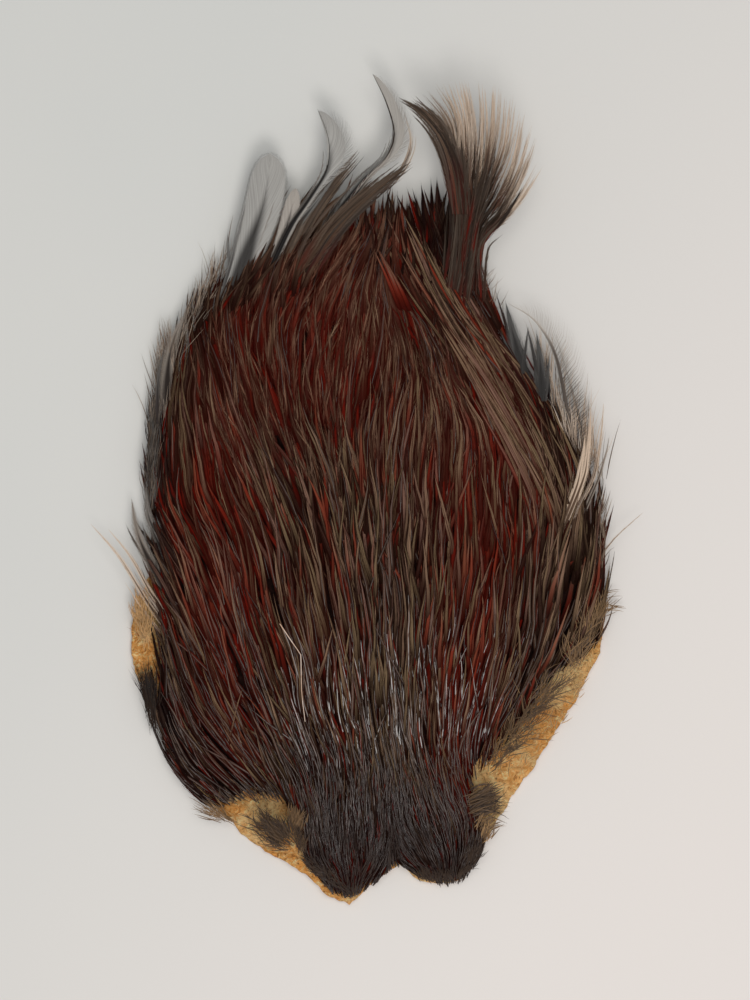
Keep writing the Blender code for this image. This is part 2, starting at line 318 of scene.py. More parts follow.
class Plumage:
    """A mesh under construction, made of feathers."""

    def __init__(self):
        self.verts, self.quads, self.tris = [], [], []
        self.across, self.along, self.feather = [], [], []
        self.values = {}
        self.total = 0
        self.feathers = 0

    def add(self, group, verts, across, along, feather, quads=None, tris=None):
        """Adds part of every feather of a group, with where its points lie
        across and along the feather."""
        self.verts.append(verts.reshape(-1, 3))
        self.across.append(across.reshape(-1))
        self.along.append(along.reshape(-1))
        self.feather.append(feather + self.feathers)
        for name, value in group.values.items():
            self.values.setdefault(name, []).append(value[feather])
        if quads is not None:
            self.quads.append(quads.reshape(-1, 4) + self.total)
        if tris is not None:
            self.tris.append(tris.reshape(-1, 3) + self.total)
        self.total += len(feather)

    def strips(self, group, verts, across):
        """A strip of quads along each feather, with across for its columns."""
        n, s, c = verts.shape[:3]
        index = np.arange(n * s * c).reshape(n, s, c)
        quads = np.stack(
            [index[:, :-1, :-1], index[:, :-1, 1:], index[:, 1:, 1:], index[:, 1:, :-1]], -1
        )
        along = np.broadcast_to(group.t[None, :, None], (n, s, c))
        across = np.broadcast_to(across, (n, s, c))
        self.add(group, verts, across, along, np.repeat(np.arange(n), s * c), quads=quads)

    def vanes(self, group, core=0.8, arch=0.3, shape=hackle_shape, columns=5):
        """The solid middle of each feather: an arched strip along its shaft."""
        place = np.linspace(-1, 1, columns) * core
        half = np.where(place < 0, group.half(-1), group.half(1))[:, None, :]
        half = half * shape(group.t)[None, :, None]
        out = (half * place)[..., None]
        drop = (half * arch * np.abs(place) * np.abs(place) / core)[..., None]
        verts = group.shaft[:, :, None, :] + group.side[:, :, None, :] * out
        verts = verts - group.up[:, :, None, :] * drop
        self.strips(group, verts, place)

    def barbs(self, group, each, core=0.8, arch=0.3, shape=hackle_shape, start=0.12,
              foot=0.5, spread=1.0, reach=4.0, wild=1.0, bound=False):
        """Pointed barbs along both edges of each feather, swept forward. Foot
        is a barb's breadth as a share of the room for it, and reach is how
        far ahead it goes. Bound keeps the barbs within the feather's outline."""
        n = group.count
        for sign in (-1.0, 1.0):
            t = (np.arange(each) + rng.random((n, each))) / each
            t = start + (0.985 - start) * t
            thick = foot * (1 - start) / each
            half = group.half(sign)
            feet = []
            for place in (t, np.minimum(t + thick, 0.999)):
                edge = half * shape(place) * core
                side = group.read(group.side, place) * sign
                up = group.read(group.up, place)
                feet.append(
                    group.read(group.shaft, place) + side * edge[..., None]
                    - up * (edge * arch)[..., None]
                )
            side = group.read(group.side, t) * sign
            forward = group.read(group.forward, t)
            up = group.read(group.up, t)
            chance = wild * (rng.random((3, n, each)) - 0.5)
            ahead = reach * (0.3 + 0.7 * shape(t)) * (1 + 0.8 * chance[1])
            if bound:
                ahead = np.minimum(ahead, (1 - t) * group.length[:, None])
            there = np.clip(t + (1.0 if bound else 0.8) * ahead / group.length[:, None], 0, 1)
            room = np.maximum(half * (shape(there) - shape(t) * core), -0.2 * half) + 0.06
            out = room * spread * (1 + 0.7 * chance[0])
            rise = out * (0.5 * chance[2] - arch)
            root = (feet[0] + feet[1]) / 2
            tip = root + side * out[..., None] + forward * ahead[..., None] + up * rise[..., None]
            bow = (side * (out * 0.16)[..., None] - forward * (ahead * 0.05)[..., None])
            middle = root * 0.5 + tip * 0.5 + bow
            half_foot = (feet[1] - feet[0]) * 0.34
            rings = [feet[0], feet[1], middle - half_foot, middle + half_foot, tip]
            verts = np.stack(rings, 2)
            index = np.arange(n * each * 5).reshape(n, each, 5)
            near, far = (0, 1) if sign < 0 else (1, 0)
            quads = index[..., [near, far, 2 + far, 2 + near]]
            tris = index[..., [2 + near, 2 + far, 4]]
            share = np.array([0, 0, 0.5, 0.5, 1.0])
            across = np.broadcast_to(sign * (core + (1 - core) * share), (n, each, 5))
            along = np.clip(t[..., None] + thick * share * 2, 0, 1)
            feather = np.repeat(np.arange(n), each * 5)
            self.add(group, verts, across, along, feather, quads=quads, tris=tris)

    def shafts(self, group, radius):
        """A thin ridge along each feather."""
        wide = (radius * (1 - 0.75 * group.t))[None, :, None]
        centre = group.shaft + group.up * 0.05
        verts = np.stack(
            [centre - group.side * wide, centre + group.up * wide, centre + group.side * wide], 2
        )
        self.strips(group, verts, 0.0)

    def dress(self, group, each, core=0.8, columns=3, **barbs):
        """Adds a group of feathers, each with its vane and its barbs."""
        self.vanes(group, core=core, columns=columns)
        self.barbs(group, each, core=core, **barbs)
        self.done(group)

    def done(self, group):
        """Ends a group, so that the next one's feathers are counted on from it."""
        self.feathers += group.count

    def build(self, name, finish):
        """The mesh object, with each feather's own cell in the map OFBake."""
        across = np.concatenate(self.across)
        along = np.concatenate(self.along)
        feather = np.concatenate(self.feather)
        piece = mesh_piece(name, np.concatenate(self.verts), self.quads, self.tris, finish)
        mesh = piece.data
        corners = np.empty(len(mesh.loops), np.int32)
        mesh.loops.foreach_get("vertex_index", corners)
        place = np.stack([np.clip(along, 0, 1), across * 0.5 + 0.5], -1)
        write_uv(mesh, "Feather", place, corners)
        columns = max(1, round(math.sqrt(self.feathers * 4)))
        rows = math.ceil(self.feathers / columns)
        cell = np.stack([feather % columns, feather // columns], -1)
        inner = place[:, ::-1] * 0.84 + 0.08
        write_uv(mesh, "OFBake", (cell + inner) / (columns, rows), corners)
        for label, parts in self.values.items():
            write_value(mesh, label, np.concatenate(parts))
        return piece


def write_uv(mesh, name, place, corners):
    layer = mesh.uv_layers.new(name=name)
    layer.data.foreach_set("uv", place[corners].astype(np.float32).ravel())


def write_value(mesh, name, values):
    attribute = mesh.attributes.new(name, "FLOAT", "POINT")
    attribute.data.foreach_set("value", values.astype(np.float32))


def mesh_piece(name, verts, quads, tris, finish):
    """An object from points in millimetres and lists of quads and triangles."""
    quads = np.concatenate(quads) if len(quads) else np.zeros((0, 4), int)
    tris = np.concatenate(tris) if len(tris) else np.zeros((0, 3), int)
    mesh = bpy.data.meshes.new(name)
    mesh.vertices.add(len(verts))
    mesh.vertices.foreach_set("co", (verts * MM).astype(np.float32).ravel())
    loops = np.concatenate([quads.ravel(), tris.ravel()]).astype(np.int32)
    sizes = np.concatenate([np.full(len(quads), 4), np.full(len(tris), 3)])
    starts = np.concatenate([[0], np.cumsum(sizes)[:-1]])
    mesh.loops.add(len(loops))
    mesh.loops.foreach_set("vertex_index", loops)
    mesh.polygons.add(len(sizes))
    mesh.polygons.foreach_set("loop_start", starts.astype(np.int32))
    mesh.update(calc_edges=True)
    mesh.polygons.foreach_set("use_smooth", np.ones(len(sizes), bool))
    mesh.materials.append(finish)
    piece = bpy.data.objects.new(name, mesh)
    bpy.context.scene.collection.objects.link(piece)
    return piece


def triangles(piece):
    sizes = np.empty(len(piece.data.polygons), np.int32)
    piece.data.polygons.foreach_get("loop_total", sizes)
    return int((sizes - 2).sum())


def wear(piece, slot, *nodes):
    """Lets a piece move with the cape, and stand for some of its solids."""
    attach(piece, "root")
    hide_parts(*nodes)
    print(piece.name, triangles(piece), "triangles")


# Materials

class Nodes:
    """A short way to build a material's nodes."""

    def __init__(self, name):
        self.material = bpy.data.materials.new(name)
        self.material.use_nodes = True
        self.tree = self.material.node_tree
        self.surface = self.tree.nodes["Principled BSDF"]

    def put(self, socket, value):
        """Links a socket, or sets its value. A colour gets its fourth number."""
        if isinstance(value, bpy.types.NodeSocket):
            self.tree.links.new(value, socket)
        else:
            socket.default_value = (*value, 1) if isinstance(value, tuple) else value

    def node(self, kind, **sockets):
        """A new node, with its named sockets put."""
        node = self.tree.nodes.new("ShaderNode" + kind)
        for name, value in sockets.items():
            self.put(node.inputs[name.replace("_", " ")], value)
        return node

    def math(self, operation, a, b=0.0, clamp=False):
        node = self.node("Math")
        node.operation = operation
        node.use_clamp = clamp
        self.put(node.inputs[0], a)
        self.put(node.inputs[1], b)
        return node.outputs[0]

    def times(self, a, b, clamp=False):
        return self.math("MULTIPLY", a, b, clamp)

    def ramp(self, value, low, high, start=0.0, end=1.0):
        node = self.node(
            "MapRange", Value=value, From_Min=low, From_Max=high, To_Min=start, To_Max=end
        )
        node.interpolation_type = "SMOOTHSTEP"
        return node.outputs[0]

    def mix(self, factor, a, b):
        node = self.node("Mix")
        node.data_type = "RGBA"
        for i, value in ((0, factor), (6, a), (7, b)):
            self.put(node.inputs[i], value)
        return node.outputs[2]

    def value(self, name):
        node = self.node("Attribute")
        node.attribute_name = name
        return node.outputs["Fac"]

    def uv(self, name):
        node = self.node("UVMap")
        node.uv_map = name
        return self.split(node.outputs[0])[:2]

    def split(self, vector):
        return list(self.node("SeparateXYZ", Vector=vector).outputs)

    def place(self):
        return self.node("TexCoord").outputs["Object"]

    def joined(self, x, y, z):
        return self.node("CombineXYZ", X=x, Y=y, Z=z).outputs[0]

    def noise(self, place, scale, detail=2.0, rough=0.5, warp=0.0):
        node = self.node(
            "TexNoise", Vector=place, Scale=scale, Detail=detail, Roughness=rough, Distortion=warp
        )
        return node.outputs["Fac"]

    def bump(self, height, strength, distance):
        node = self.node("Bump", Height=height, Strength=strength, Distance=distance)
        self.put(self.surface.inputs["Normal"], node.outputs[0])

    def finish(self, **sockets):
        for name, value in sockets.items():
            self.put(self.surface.inputs[name.replace("_", " ")], value)
        return self.material


BLACK_BROWN = (0.009, 0.0028, 0.0016)
TAUPE = (0.250, 0.155, 0.098)
OLIVE = (0.205, 0.138, 0.078)
MAUVE = (0.205, 0.112, 0.082)
DARK_RED = (0.036, 0.003, 0.0015)
DEEP_RED = (0.150, 0.006, 0.002)
BRICK = (0.225, 0.030, 0.014)
COOL_DARK = (0.008, 0.003, 0.004)
COOL_GREY = (0.075, 0.045, 0.035)
PALE_TAN = (0.36, 0.22, 0.14)


def hackle_material():
    """Dark, taupe or red barbs, with the streaks of the barbs across them, and painted shade at
    each feather's edges and towards its root.
    """
    n = Nodes("hackle")
    along, across = n.uv("Feather")
    tone, red, cool, seed = (n.value(v) for v in ("tone", "red", "cool", "seed"))
    warm, pale = n.value("warm"), n.value("pale")
    off = n.math("ABSOLUTE", n.math("SUBTRACT", across, 0.5))
    barb = n.math("SUBTRACT", n.times(along, 60.0), n.times(off, 16.0))
    shift = n.times(seed, 91.0)
    streak = n.noise(n.joined(barb, n.times(across, 2.0), shift), 1.6, 2.0, 0.6)
    strand = n.noise(n.joined(n.times(along, 1.6), n.times(across, 11.0), shift), 1.5, 3.0, 0.55)
    under = n.mix(n.ramp(warm, 0.0, 0.55), BLACK_BROWN, DARK_RED)
    dark = n.mix(cool, under, COOL_DARK)
    tint = n.mix(n.ramp(seed, 0.15, 0.45), OLIVE, TAUPE)
    tint = n.mix(n.ramp(seed, 0.6, 0.9), tint, MAUVE)
    light = n.mix(cool, tint, COOL_GREY)
    # Painted shade: each feather darkens towards its edges, standing for the dark gaps between
    # feathers.
    edge = n.ramp(off, 0.12, 0.46, 1.0, 0.08)
    shade = n.times(tone, n.ramp(strand, 0.36, 0.64, 0.12, 1.3))
    shade = n.times(shade, n.ramp(streak, 0.3, 0.7, 0.7, 1.2))
    shade = n.math("POWER", n.times(shade, edge, True), 1.35)
    plain = n.mix(shade, dark, light)
    rust = n.mix(n.ramp(n.times(tone, strand), 0.25, 0.8), DEEP_RED, BRICK)
    # The same painted edge shade darkens the red feathers to dark red at their edges.
    rust = n.mix(n.times(edge, n.ramp(strand, 0.3, 0.6, 0.4, 1.0)), DARK_RED, rust)
    turn = n.math("ADD", along, n.times(seed, 0.5))
    colour = n.mix(n.times(red, n.ramp(turn, 0.85, 1.15, 1.0, 0.25)), plain, rust)
    shaft = n.ramp(off, 0.015, 0.06, 0.4, 0.0)
    colour = n.mix(shaft, colour, BLACK_BROWN)
    far = n.times(n.ramp(along, 0.25, 0.7), n.times(pale, 0.75))
    colour = n.mix(far, colour, PALE_TAN)
    # Painted shade: each feather darkens to the under colour towards its root, where the feathers
    # above it cover it.
    root = n.ramp(along, 0.15, 0.68, 0.97, 0.0)
    colour = n.mix(root, colour, under)
    n.bump(n.math("ADD", streak, n.times(strand, 0.8)), 0.35, 0.0002)
    dull = n.ramp(strand, 0.3, 0.7, 0.12, 0.24)
    rough = n.math("ADD", dull, n.ramp(off, 0.01, 0.08, 0.12, 0.24))
    return n.finish(Base_Color=colour, Roughness=rough, Specular_IOR_Level=0.015)


def shaft_and_painted_glint_material():
    """The hackles' glossy shafts, some painted near white as glints where the glint patches lie."""
    n = Nodes("shaft")
    along, across = n.uv("Feather")
    tone, seed = n.value("tone"), n.value("seed")
    place = n.joined(n.times(along, 3.5), n.times(seed, 60.0), 0.0)
    patch = n.noise(place, 1.5)
    colour = n.mix(tone, (0.016, 0.008, 0.006), (0.10, 0.07, 0.055))
    colour = n.mix(n.ramp(patch, 0.35, 0.65, 0.6, 0.0), colour, BLACK_BROWN)
    # Painted highlight: the shafts turn near white where the glint patches lie.
    painted_glint = n.times(n.ramp(patch, 0.41, 0.55), n.ramp(n.value("bright"), 0.15, 0.65))
    colour = n.mix(painted_glint, colour, (0.48, 0.46, 0.445))
    return n.finish(
        Base_Color=colour, Roughness=n.ramp(patch, 0.3, 0.7, 0.24, 0.4), Specular_IOR_Level=0.45,
    )


def plume_material():
    """The loose plumes: dark at the root and pale at their thin ends."""
    n = Nodes("plume")
    along, across = n.uv("Feather")
    tone, red, pale, seed = (n.value(v) for v in ("tone", "red", "pale", "seed"))
    off = n.times(n.math("ABSOLUTE", n.math("SUBTRACT", across, 0.5)), 2.0)
    shift = n.times(seed, 91.0)
    barb = n.math("SUBTRACT", n.times(along, 60.0), n.times(off, 26.0))
    streak = n.noise(n.joined(barb, across, shift), 1.7, 2.0, 0.6)
    out = n.math("ADD", off, n.math("SUBTRACT", n.times(along, 1.2), 0.2))
    far = n.times(n.ramp(out, 0.35, 0.85), pale)
    dark = n.mix(tone, (0.012, 0.005, 0.003), (0.17, 0.105, 0.068))
    dark = n.mix(n.value("cool"), dark, n.mix(tone, (0.012, 0.012, 0.013), (0.10, 0.095, 0.09)))
    dark = n.mix(n.times(red, n.ramp(along, 0.1, 0.5, 1.0, 0.0)), dark, DEEP_RED)
    light = n.mix(n.value("cool"), (0.74, 0.57, 0.43), (0.42, 0.41, 0.385))
    rim = n.times(n.ramp(off, 0.84, 0.96, 0.0, 0.85), n.value("cool"))
    colour = n.mix(rim, n.mix(far, dark, light), (0.10, 0.09, 0.08))
    colour = n.mix(n.ramp(streak, 0.3, 0.7, 0.35, 0.0), colour, (0.02, 0.015, 0.012))
    n.bump(streak, 0.3, 0.0002)
    return n.finish(
        Base_Color=colour, Roughness=n.ramp(streak, 0.3, 0.7, 0.4, 0.55),
        Specular_IOR_Level=0.03,
    )


def skin_material():
    """Dry rawhide: blotched tan and orange, fibrous, with dark pits, and painted highlight and
    shade on its fibres.
    """
    n = Nodes("rawhide")
    place = n.place()
    blotch = n.noise(place, 55.0, 3.0, 0.6, 0.4)
    fibre = n.noise(place, 360.0, 5.0, 0.75, 2.0)
    grain = n.noise(place, 1300.0, 2.0, 0.6)
    colour = n.mix(n.ramp(blotch, 0.42, 0.66), (0.88, 0.37, 0.09), (0.96, 0.60, 0.26))
    # The fibres' pale ridges and dark creases: partly the hide's own streaks, partly painted
    # highlight on the ridges and painted shade in the creases.
    colour = n.mix(n.ramp(fibre, 0.5, 0.64, 0.0, 0.95), colour, (1.0, 0.76, 0.36))
    colour = n.mix(n.ramp(fibre, 0.34, 0.48, 0.9, 0.0), colour, (0.33, 0.12, 0.03))
    pits = n.noise(place, 760.0, 1.0)
    colour = n.mix(n.ramp(pits, 0.22, 0.34, 0.65, 0.0), colour, (0.10, 0.045, 0.02))
    n.bump(n.math("ADD", fibre, n.times(grain, 0.35)), 1.0, 0.0016)
    return n.finish(
        Base_Color=colour, Roughness=n.ramp(fibre, 0.3, 0.7, 0.5, 0.75),
        Specular_IOR_Level=0.2, Subsurface_Weight=0.06,
    )


def dark_down_and_gap_shade_material():
    """The matted dark down under the hackles, painted near black to stand for the shade in the gaps
    between them.
    """
    n = Nodes("down")
    place = n.place()
    fluff = n.noise(place, 300.0, 4.0, 0.7, 1.0)
    # Partly painted shade: near black, as the shade in the gaps between the hackles.
    colour = n.mix(n.ramp(fluff, 0.35, 0.65), (0.004, 0.002, 0.0015), (0.014, 0.005, 0.004))
    n.bump(fluff, 0.8, 0.001)
    return n.finish(Base_Color=colour, Roughness=0.9, Specular_IOR_Level=0.05)


def fuzz_material():
    """Tan, brown and dark hairs at the skin's bare margins."""
    n = Nodes("fuzz")
    along, across = n.uv("Feather")
    tone, seed = n.value("tone"), n.value("seed")
    shift = n.times(seed, 50.0)
    streak = n.noise(n.joined(n.times(along, 3.0), across, shift), 2.0)
    colour = n.mix(tone, (0.016, 0.008, 0.006), (0.78, 0.45, 0.18))
    colour = n.mix(n.ramp(streak, 0.3, 0.7, 0.5, 0.0), colour, (0.06, 0.03, 0.015))
    return n.finish(
        Base_Color=colour, Roughness=n.ramp(streak, 0.3, 0.7, 0.5, 0.65),
        Specular_IOR_Level=0.4, Sheen_Weight=0.2, Sheen_Roughness=0.4,
    )


def quill_material():
    """A pale brown shaft, banded along it."""
    n = Nodes("quill")
    place = n.place()
    band = n.noise(place, 260.0, 3.0, 0.6)
    colour = n.mix(n.ramp(band, 0.35, 0.65), (0.62, 0.40, 0.27), (0.80, 0.63, 0.52))
    n.bump(n.noise(place, 1800.0, 2.0), 0.3, 0.0001)
    return n.finish(Base_Color=colour, Roughness=n.ramp(band, 0.3, 0.7, 0.3, 0.45))


def paper_material():
    """The sheet under the cape, with painted light: darker and cooler to the upper left, lighter
    and warmer to the lower right.
    """
    n = Nodes("paper")
    place = n.place()
    x, y, _ = n.split(place)
    painted_light_slant = n.math("SUBTRACT", n.times(x, 1.4), y)
    patch = n.noise(place, 6.0)
    tooth = n.noise(place, 900.0, 3.0, 0.6)
    # Painted light: the sheet darkens and cools towards the upper left and lightens and warms
    # towards the lower right.
    colour = n.mix(n.ramp(painted_light_slant, -0.3, 0.35), (0.66, 0.67, 0.645), (0.80, 0.755, 0.72))
    colour = n.mix(n.ramp(patch, 0.3, 0.7, 0.0, 0.25), colour, (0.76, 0.74, 0.70))
    n.bump(tooth, 0.12, 0.0003)
    return n.finish(Base_Color=colour, Roughness=0.85, Specular_IOR_Level=0.25)


# The hackles

HACKLE_TRIES, RIM_TRIES = 90000, 24000
CROWDING = 0.95
RIM_LENGTH, RIM_BREADTH = 0.45, 0.6
DROOP = 2.2
LOWEST_FEATHER, LOWEST_LAID = 1.7, 2.3
HEAD_BARBS = {"each": 5, "reach": 5.0}
SIDE_BARBS = {"each": 13, "reach": 5.0, "spread": 1.2}
WIDE_END_BARBS = {"each": 16, "reach": 4.5, "spread": 1.6, "foot": 0.4}

# The points of a hackle's line, and those at its middle, just beyond it, where
# its colour shows and at its tip.
SECTIONS = 9
MIDDLE, BEYOND, SEEN, TIP = 4, 5, 6, 8


def scatter(tries, outline):
    """Random places inside an outline."""
    low, high = np.min(outline, axis=0), np.max(outline, axis=0)
    x = rng.uniform(low[0], high[0], tries)
    y = rng.uniform(low[1], high[1], tries)
    keep = outside(outline, x, y) < 0
    return x[keep], y[keep]


def age(x, y):
    """How far a place is on from the head end: y, and more on the flanks."""
    return y + 0.55 * np.maximum(np.abs(x - 8) - 22, 0)


def hackle_length(x, y):
    return np.interp(age(x, y), [-149, -128, -105, -70, -30, 30, 90], [9, 13, 21, 34, 40, 42, 40])


def hackle_breadth(x, y):
    return np.interp(age(x, y), [-149, -120, -95, -60, -10, 40], [0.6, 0.8, 1.4, 2.1, 2.4, 2.6])


def root_edge(tries):
    """Places just inside the margins that the feathers grow away from."""
    x, y = scatter(tries, PLUMAGE_OUTLINE)
    angle = np.radians(lean_at(x, y))
    behind = outside(PLUMAGE_OUTLINE, x + 4 * np.sin(angle), y - 4 * np.cos(angle))
    keep = (outside(PLUMAGE_OUTLINE, x, y) > -3.5) & (behind > 0.5) & (y < 10)
    return x[keep], y[keep]


def leaning_lines(x, y, length, sections, lean):
    """Lines on the table, each step at the lean that a function gives for it."""
    step = length / (sections - 1)
    xs, ys = [x], [y]
    for i in range(sections - 1):
        angle = np.radians(lean(i, xs[-1], ys[-1]))
        xs.append(xs[-1] - np.sin(angle) * step)
        ys.append(ys[-1] + np.cos(angle) * step)
    return np.stack(xs, 1), np.stack(ys, 1)


def trace(x, y, length, own_lean):
    """Lines on the table that follow the lie of the feathers."""
    bend = rng.normal(0, 6, len(x))

    def lean(i, x, y):
        return (
            lean_at(x, y) + own_lean + bend * (i / SECTIONS - 0.4)
            + 3.5 * waves(x, y, 38.0, 1.3) + 4.5 * waves(x, y, 13.0, 0.6)
        )

    return leaning_lines(x, y, length, SECTIONS, lean)


def laid(x, y, depth, lift):
    """Lines on the table, laid on the feather mass: their roots lie deep in
    it and their tips lift off it."""
    t = np.linspace(0, 1, x.shape[1])[None, :]
    ground = surface.at(x, y)
    rise = -depth[:, None] * (1 - smooth(t, 0.0, 0.3)) + lift[:, None] * (0.45 + 0.55 * t)
    z = np.maximum(ground + rise - 0.6, LOWEST_LAID)
    return np.stack([x, y, z], -1)


def plumage_values(x, y):
    """Each feather's values for its colour, from where it is seen."""
    count = len(x)
    red_share = patches_at(RED_PATCHES, x, y)
    dark_share = patches_at(DARK_PATCHES, x, y)
    cool_share = patches_at(COOL_PATCHES, x, y)
    red = (rng.random(count) < 0.28 + red_share * 0.65) * rng.uniform(0.6, 1.0, count)
    tone = rng.uniform(0.15, 1.25, count) * (1 - 0.65 * dark_share)
    tone = tone * np.where(rng.random(count) < 0.25, 0.3, 1.0)
    cool = np.clip(cool_share * rng.uniform(0.6, 1.2, count), 0, 1)
    pale = np.maximum(smooth(y, 60, 110) * 0.5, patches_at(PALE_PATCHES, x, y))
    pale = pale * rng.random(count)
    tone = tone * (1 - 0.5 * smooth(y, 20, 55)) * (1 + 0.25 * smooth(y, 30, -10))
    # Painted sheen: the tone is raised about the band near the head end where the sheen falls, and
    # a little about the middle.
    tone = tone * (1 + 0.6 * patches_at(PAINTED_SHEEN_AND_LIGHTER_PATCHES, x, y)) * (1 - 0.2 * smooth(-y, 98, 112))
    return {
        "red": red, "warm": red_share, "tone": tone, "cool": cool, "pale": pale,
        "seed": rng.random(count),
    }


def hackle_roots():
    """Where hackles grow, and their lengths and breadths: all over the cape,
    and small ones along the margins."""
    x, y = scatter(HACKLE_TRIES, PLUMAGE_OUTLINE)
    length, breadth = hackle_length(x, y), hackle_breadth(x, y)
    crowd = (1.0 + patches_at(DENSE_PATCHES, x, y)) / (length * breadth)
    keep = rng.random(len(x)) < crowd / crowd.max() * CROWDING
    rim_x, rim_y = root_edge(RIM_TRIES)
    rim_length = hackle_length(rim_x, rim_y) * RIM_LENGTH
    rim_breadth = hackle_breadth(rim_x, rim_y) * RIM_BREADTH
    pairs = (x, rim_x), (y, rim_y), (length, rim_length), (breadth, rim_breadth)
    return [np.append(all_over[keep], rim) for all_over, rim in pairs]


def lower(shaft, over):
    """Lets feathers droop where their middles and tips near the outline."""
    droop = DROOP * smooth(over, -6, 2)
    t = np.linspace(0, 1, SECTIONS)
    droop = droop[:, :1] * np.minimum(t / 0.62, 1) + np.diff(droop) * smooth(t, 0.62, 1.0)
    shaft[..., 2] = np.maximum(shaft[..., 2] - droop, LOWEST_FEATHER)


def hackle_regions(x, y):
    """The pieces that hackles belong to by where they lie, and their barbs."""
    head = y < -92 + 0.25 * np.abs(x)
    wide = ~head & (y >= 15)
    rest = ~head & ~wide
    return {
        "hackles_head": (head, HEAD_BARBS),
        "hackles_left": (rest & (x < -26), SIDE_BARBS),
        "hackles_middle": (rest & (x >= -26) & (x <= 36), SIDE_BARBS),
        "hackles_right": (rest & (x > 36), SIDE_BARBS),
        "hackles_wide_end": (wide, WIDE_END_BARBS),
    }


def make_hackles(finish, gloss):
    """The hackles that cover the cape, in pieces by where they grow."""
    x, y, length, breadth = hackle_roots()
    count = len(x)
    length = length * rng.uniform(0.8, 1.15, count)
    own_lean = rng.normal(0, 5, count)
    own_lean = own_lean + np.where(rng.random(count) < 0.15, rng.normal(0, 10, count), 0)
    xs, ys = trace(x, y, length, own_lean)
    over = outside(PLUMAGE_OUTLINE, xs[:, [BEYOND, TIP]], ys[:, [BEYOND, TIP]])
    slack = rng.uniform(-1.0, 4.5, count) + np.where(ys[:, TIP] > 60, 3.0, 0.0)
    keep = (over[:, 1] < slack) & (over[:, 0] < 1.5)
    xs, ys, breadth, over = (a[keep] for a in (xs, ys, breadth, over))
    count = len(xs)
    values = plumage_values(xs[:, SEEN], ys[:, SEEN])
    young = smooth(breadth, 0.8, 2.2)
    lift = rng.uniform(0.0, 1.1, count) + 0.35 * values["tone"] - 0.4 * values["red"]
    lift = lift * (0.5 + 1.4 * young)
    shaft = laid(xs, ys, 1.2 + 3.6 * young, lift)
    lower(shaft, over)
    group = Feathers(
        shaft, surface.normal(xs, ys), breadth * rng.uniform(0.75, 1.25, count),
        roll=rng.normal(0, 0.35, count), **values,
    )
    for name, (mask, barbs) in hackle_regions(xs[:, MIDDLE], ys[:, MIDDLE]).items():
        plumage = Plumage()
        plumage.dress(group.chosen(mask), **barbs)
        wear(plumage.build(name, finish), "dark_hackle", "hackles")
    make_shafts(group, gloss)


def make_shafts(group, finish):
    """The glossy shafts of some of the hackles, each with how strongly its painted glint shows."""
    share = 0.2 + 0.8 * smooth(-group.shaft[:, MIDDLE, 1], 25, 65)
    some = group.chosen((group.values["seed"] > 0.45) & (rng.random(group.count) < share))
    # Painted highlight: how strongly each shaft is painted near white, from the glint patches.
    band = patches_at(PAINTED_GLINT_PATCHES, some.shaft[:, BEYOND, 0], some.shaft[:, BEYOND, 1])
    some.values["bright"] = band * rng.random(some.count)
    plumage = Plumage()
    plumage.shafts(some, 0.22)
    plumage.done(some)
    wear(plumage.build("hackle_shafts", finish), "dark_hackle", "hackles")


def drawn(count, **ranges):
    """Values for the colours of feathers, at random within ranges."""
    values = {name: rng.uniform(*ends, count) for name, ends in ranges.items()}
    values["seed"] = rng.random(count)
    return values


def guided(guides, count, start, length, aside, sections=10):
    """Lines on the table that run between neighbouring guides, from a random
    start, as shares of the guides' lengths."""
    place = rng.random(count) * (len(guides) - 1)
    i = np.minimum(place.astype(int), len(guides) - 2)
    f = (place - i)[:, None, None]
    begin = rng.uniform(*start, count)
    end = np.minimum(begin + rng.uniform(*length, count), 1)
    t = begin[:, None] + (end - begin)[:, None] * np.linspace(0, 1, sections)
    lines = np.stack([spline(guide, t) for guide in guides])
    rows = np.arange(count)
    line = lines[i, rows] * (1 - f) + lines[i + 1, rows] * f
    ahead = unit(np.gradient(line, axis=1))
    off = rng.normal(0, aside, (count, 2))
    off = off[:, :1] + off[:, 1:] * np.linspace(-0.5, 1, sections)
    return line[..., 0] - ahead[..., 1] * off, line[..., 1] + ahead[..., 0] * off


def add_laid(plumage, xs, ys, values, depth, lift, breadth, each, roll=0.3, floor=0.0,
             columns=5, **barbs):
    """Feathers along lines on the table, laid on the feather mass, with their
    lift and breadth at random within limits and no part lower than floor."""
    count = len(xs)
    shaft = laid(xs, ys, np.full(count, depth), rng.uniform(*lift, count))
    shaft[..., 2] = np.maximum(shaft[..., 2], floor)
    breadth = rng.uniform(*breadth, count)
    roll = rng.normal(0, roll, count) if roll else None
    group = Feathers(shaft, surface.normal(xs, ys), breadth, roll=roll, **values)
    plumage.dress(group, each, columns=columns, **barbs)


SWEEP = [
    [(84, -30), (76, 4), (57, 38), (39, 62), (24, 90)],
    [(76, -36), (67, 0), (47, 38), (29, 66), (14, 94)],
    [(68, -40), (58, 2), (38, 40), (20, 70), (5, 97)],
]


def add_sweep(plumage):
    """Long taupe hackles that sweep across from the right shoulder."""
    xs, ys = guided(SWEEP, 150, (0.0, 0.6), (0.36, 0.5), 2.0)
    count = len(xs)
    values = plumage_values(xs[:, SEEN], ys[:, SEEN])
    values["red"] = values["red"] * (rng.random(count) < 0.15)
    values["tone"] = rng.uniform(1.1, 2.1, count)
    values["cool"] = values["cool"] * 0.3
    add_laid(plumage, xs, ys, values, 4.0, (0.6, 2.6), (1.8, 2.9), 20, reach=5.0, spread=1.2)


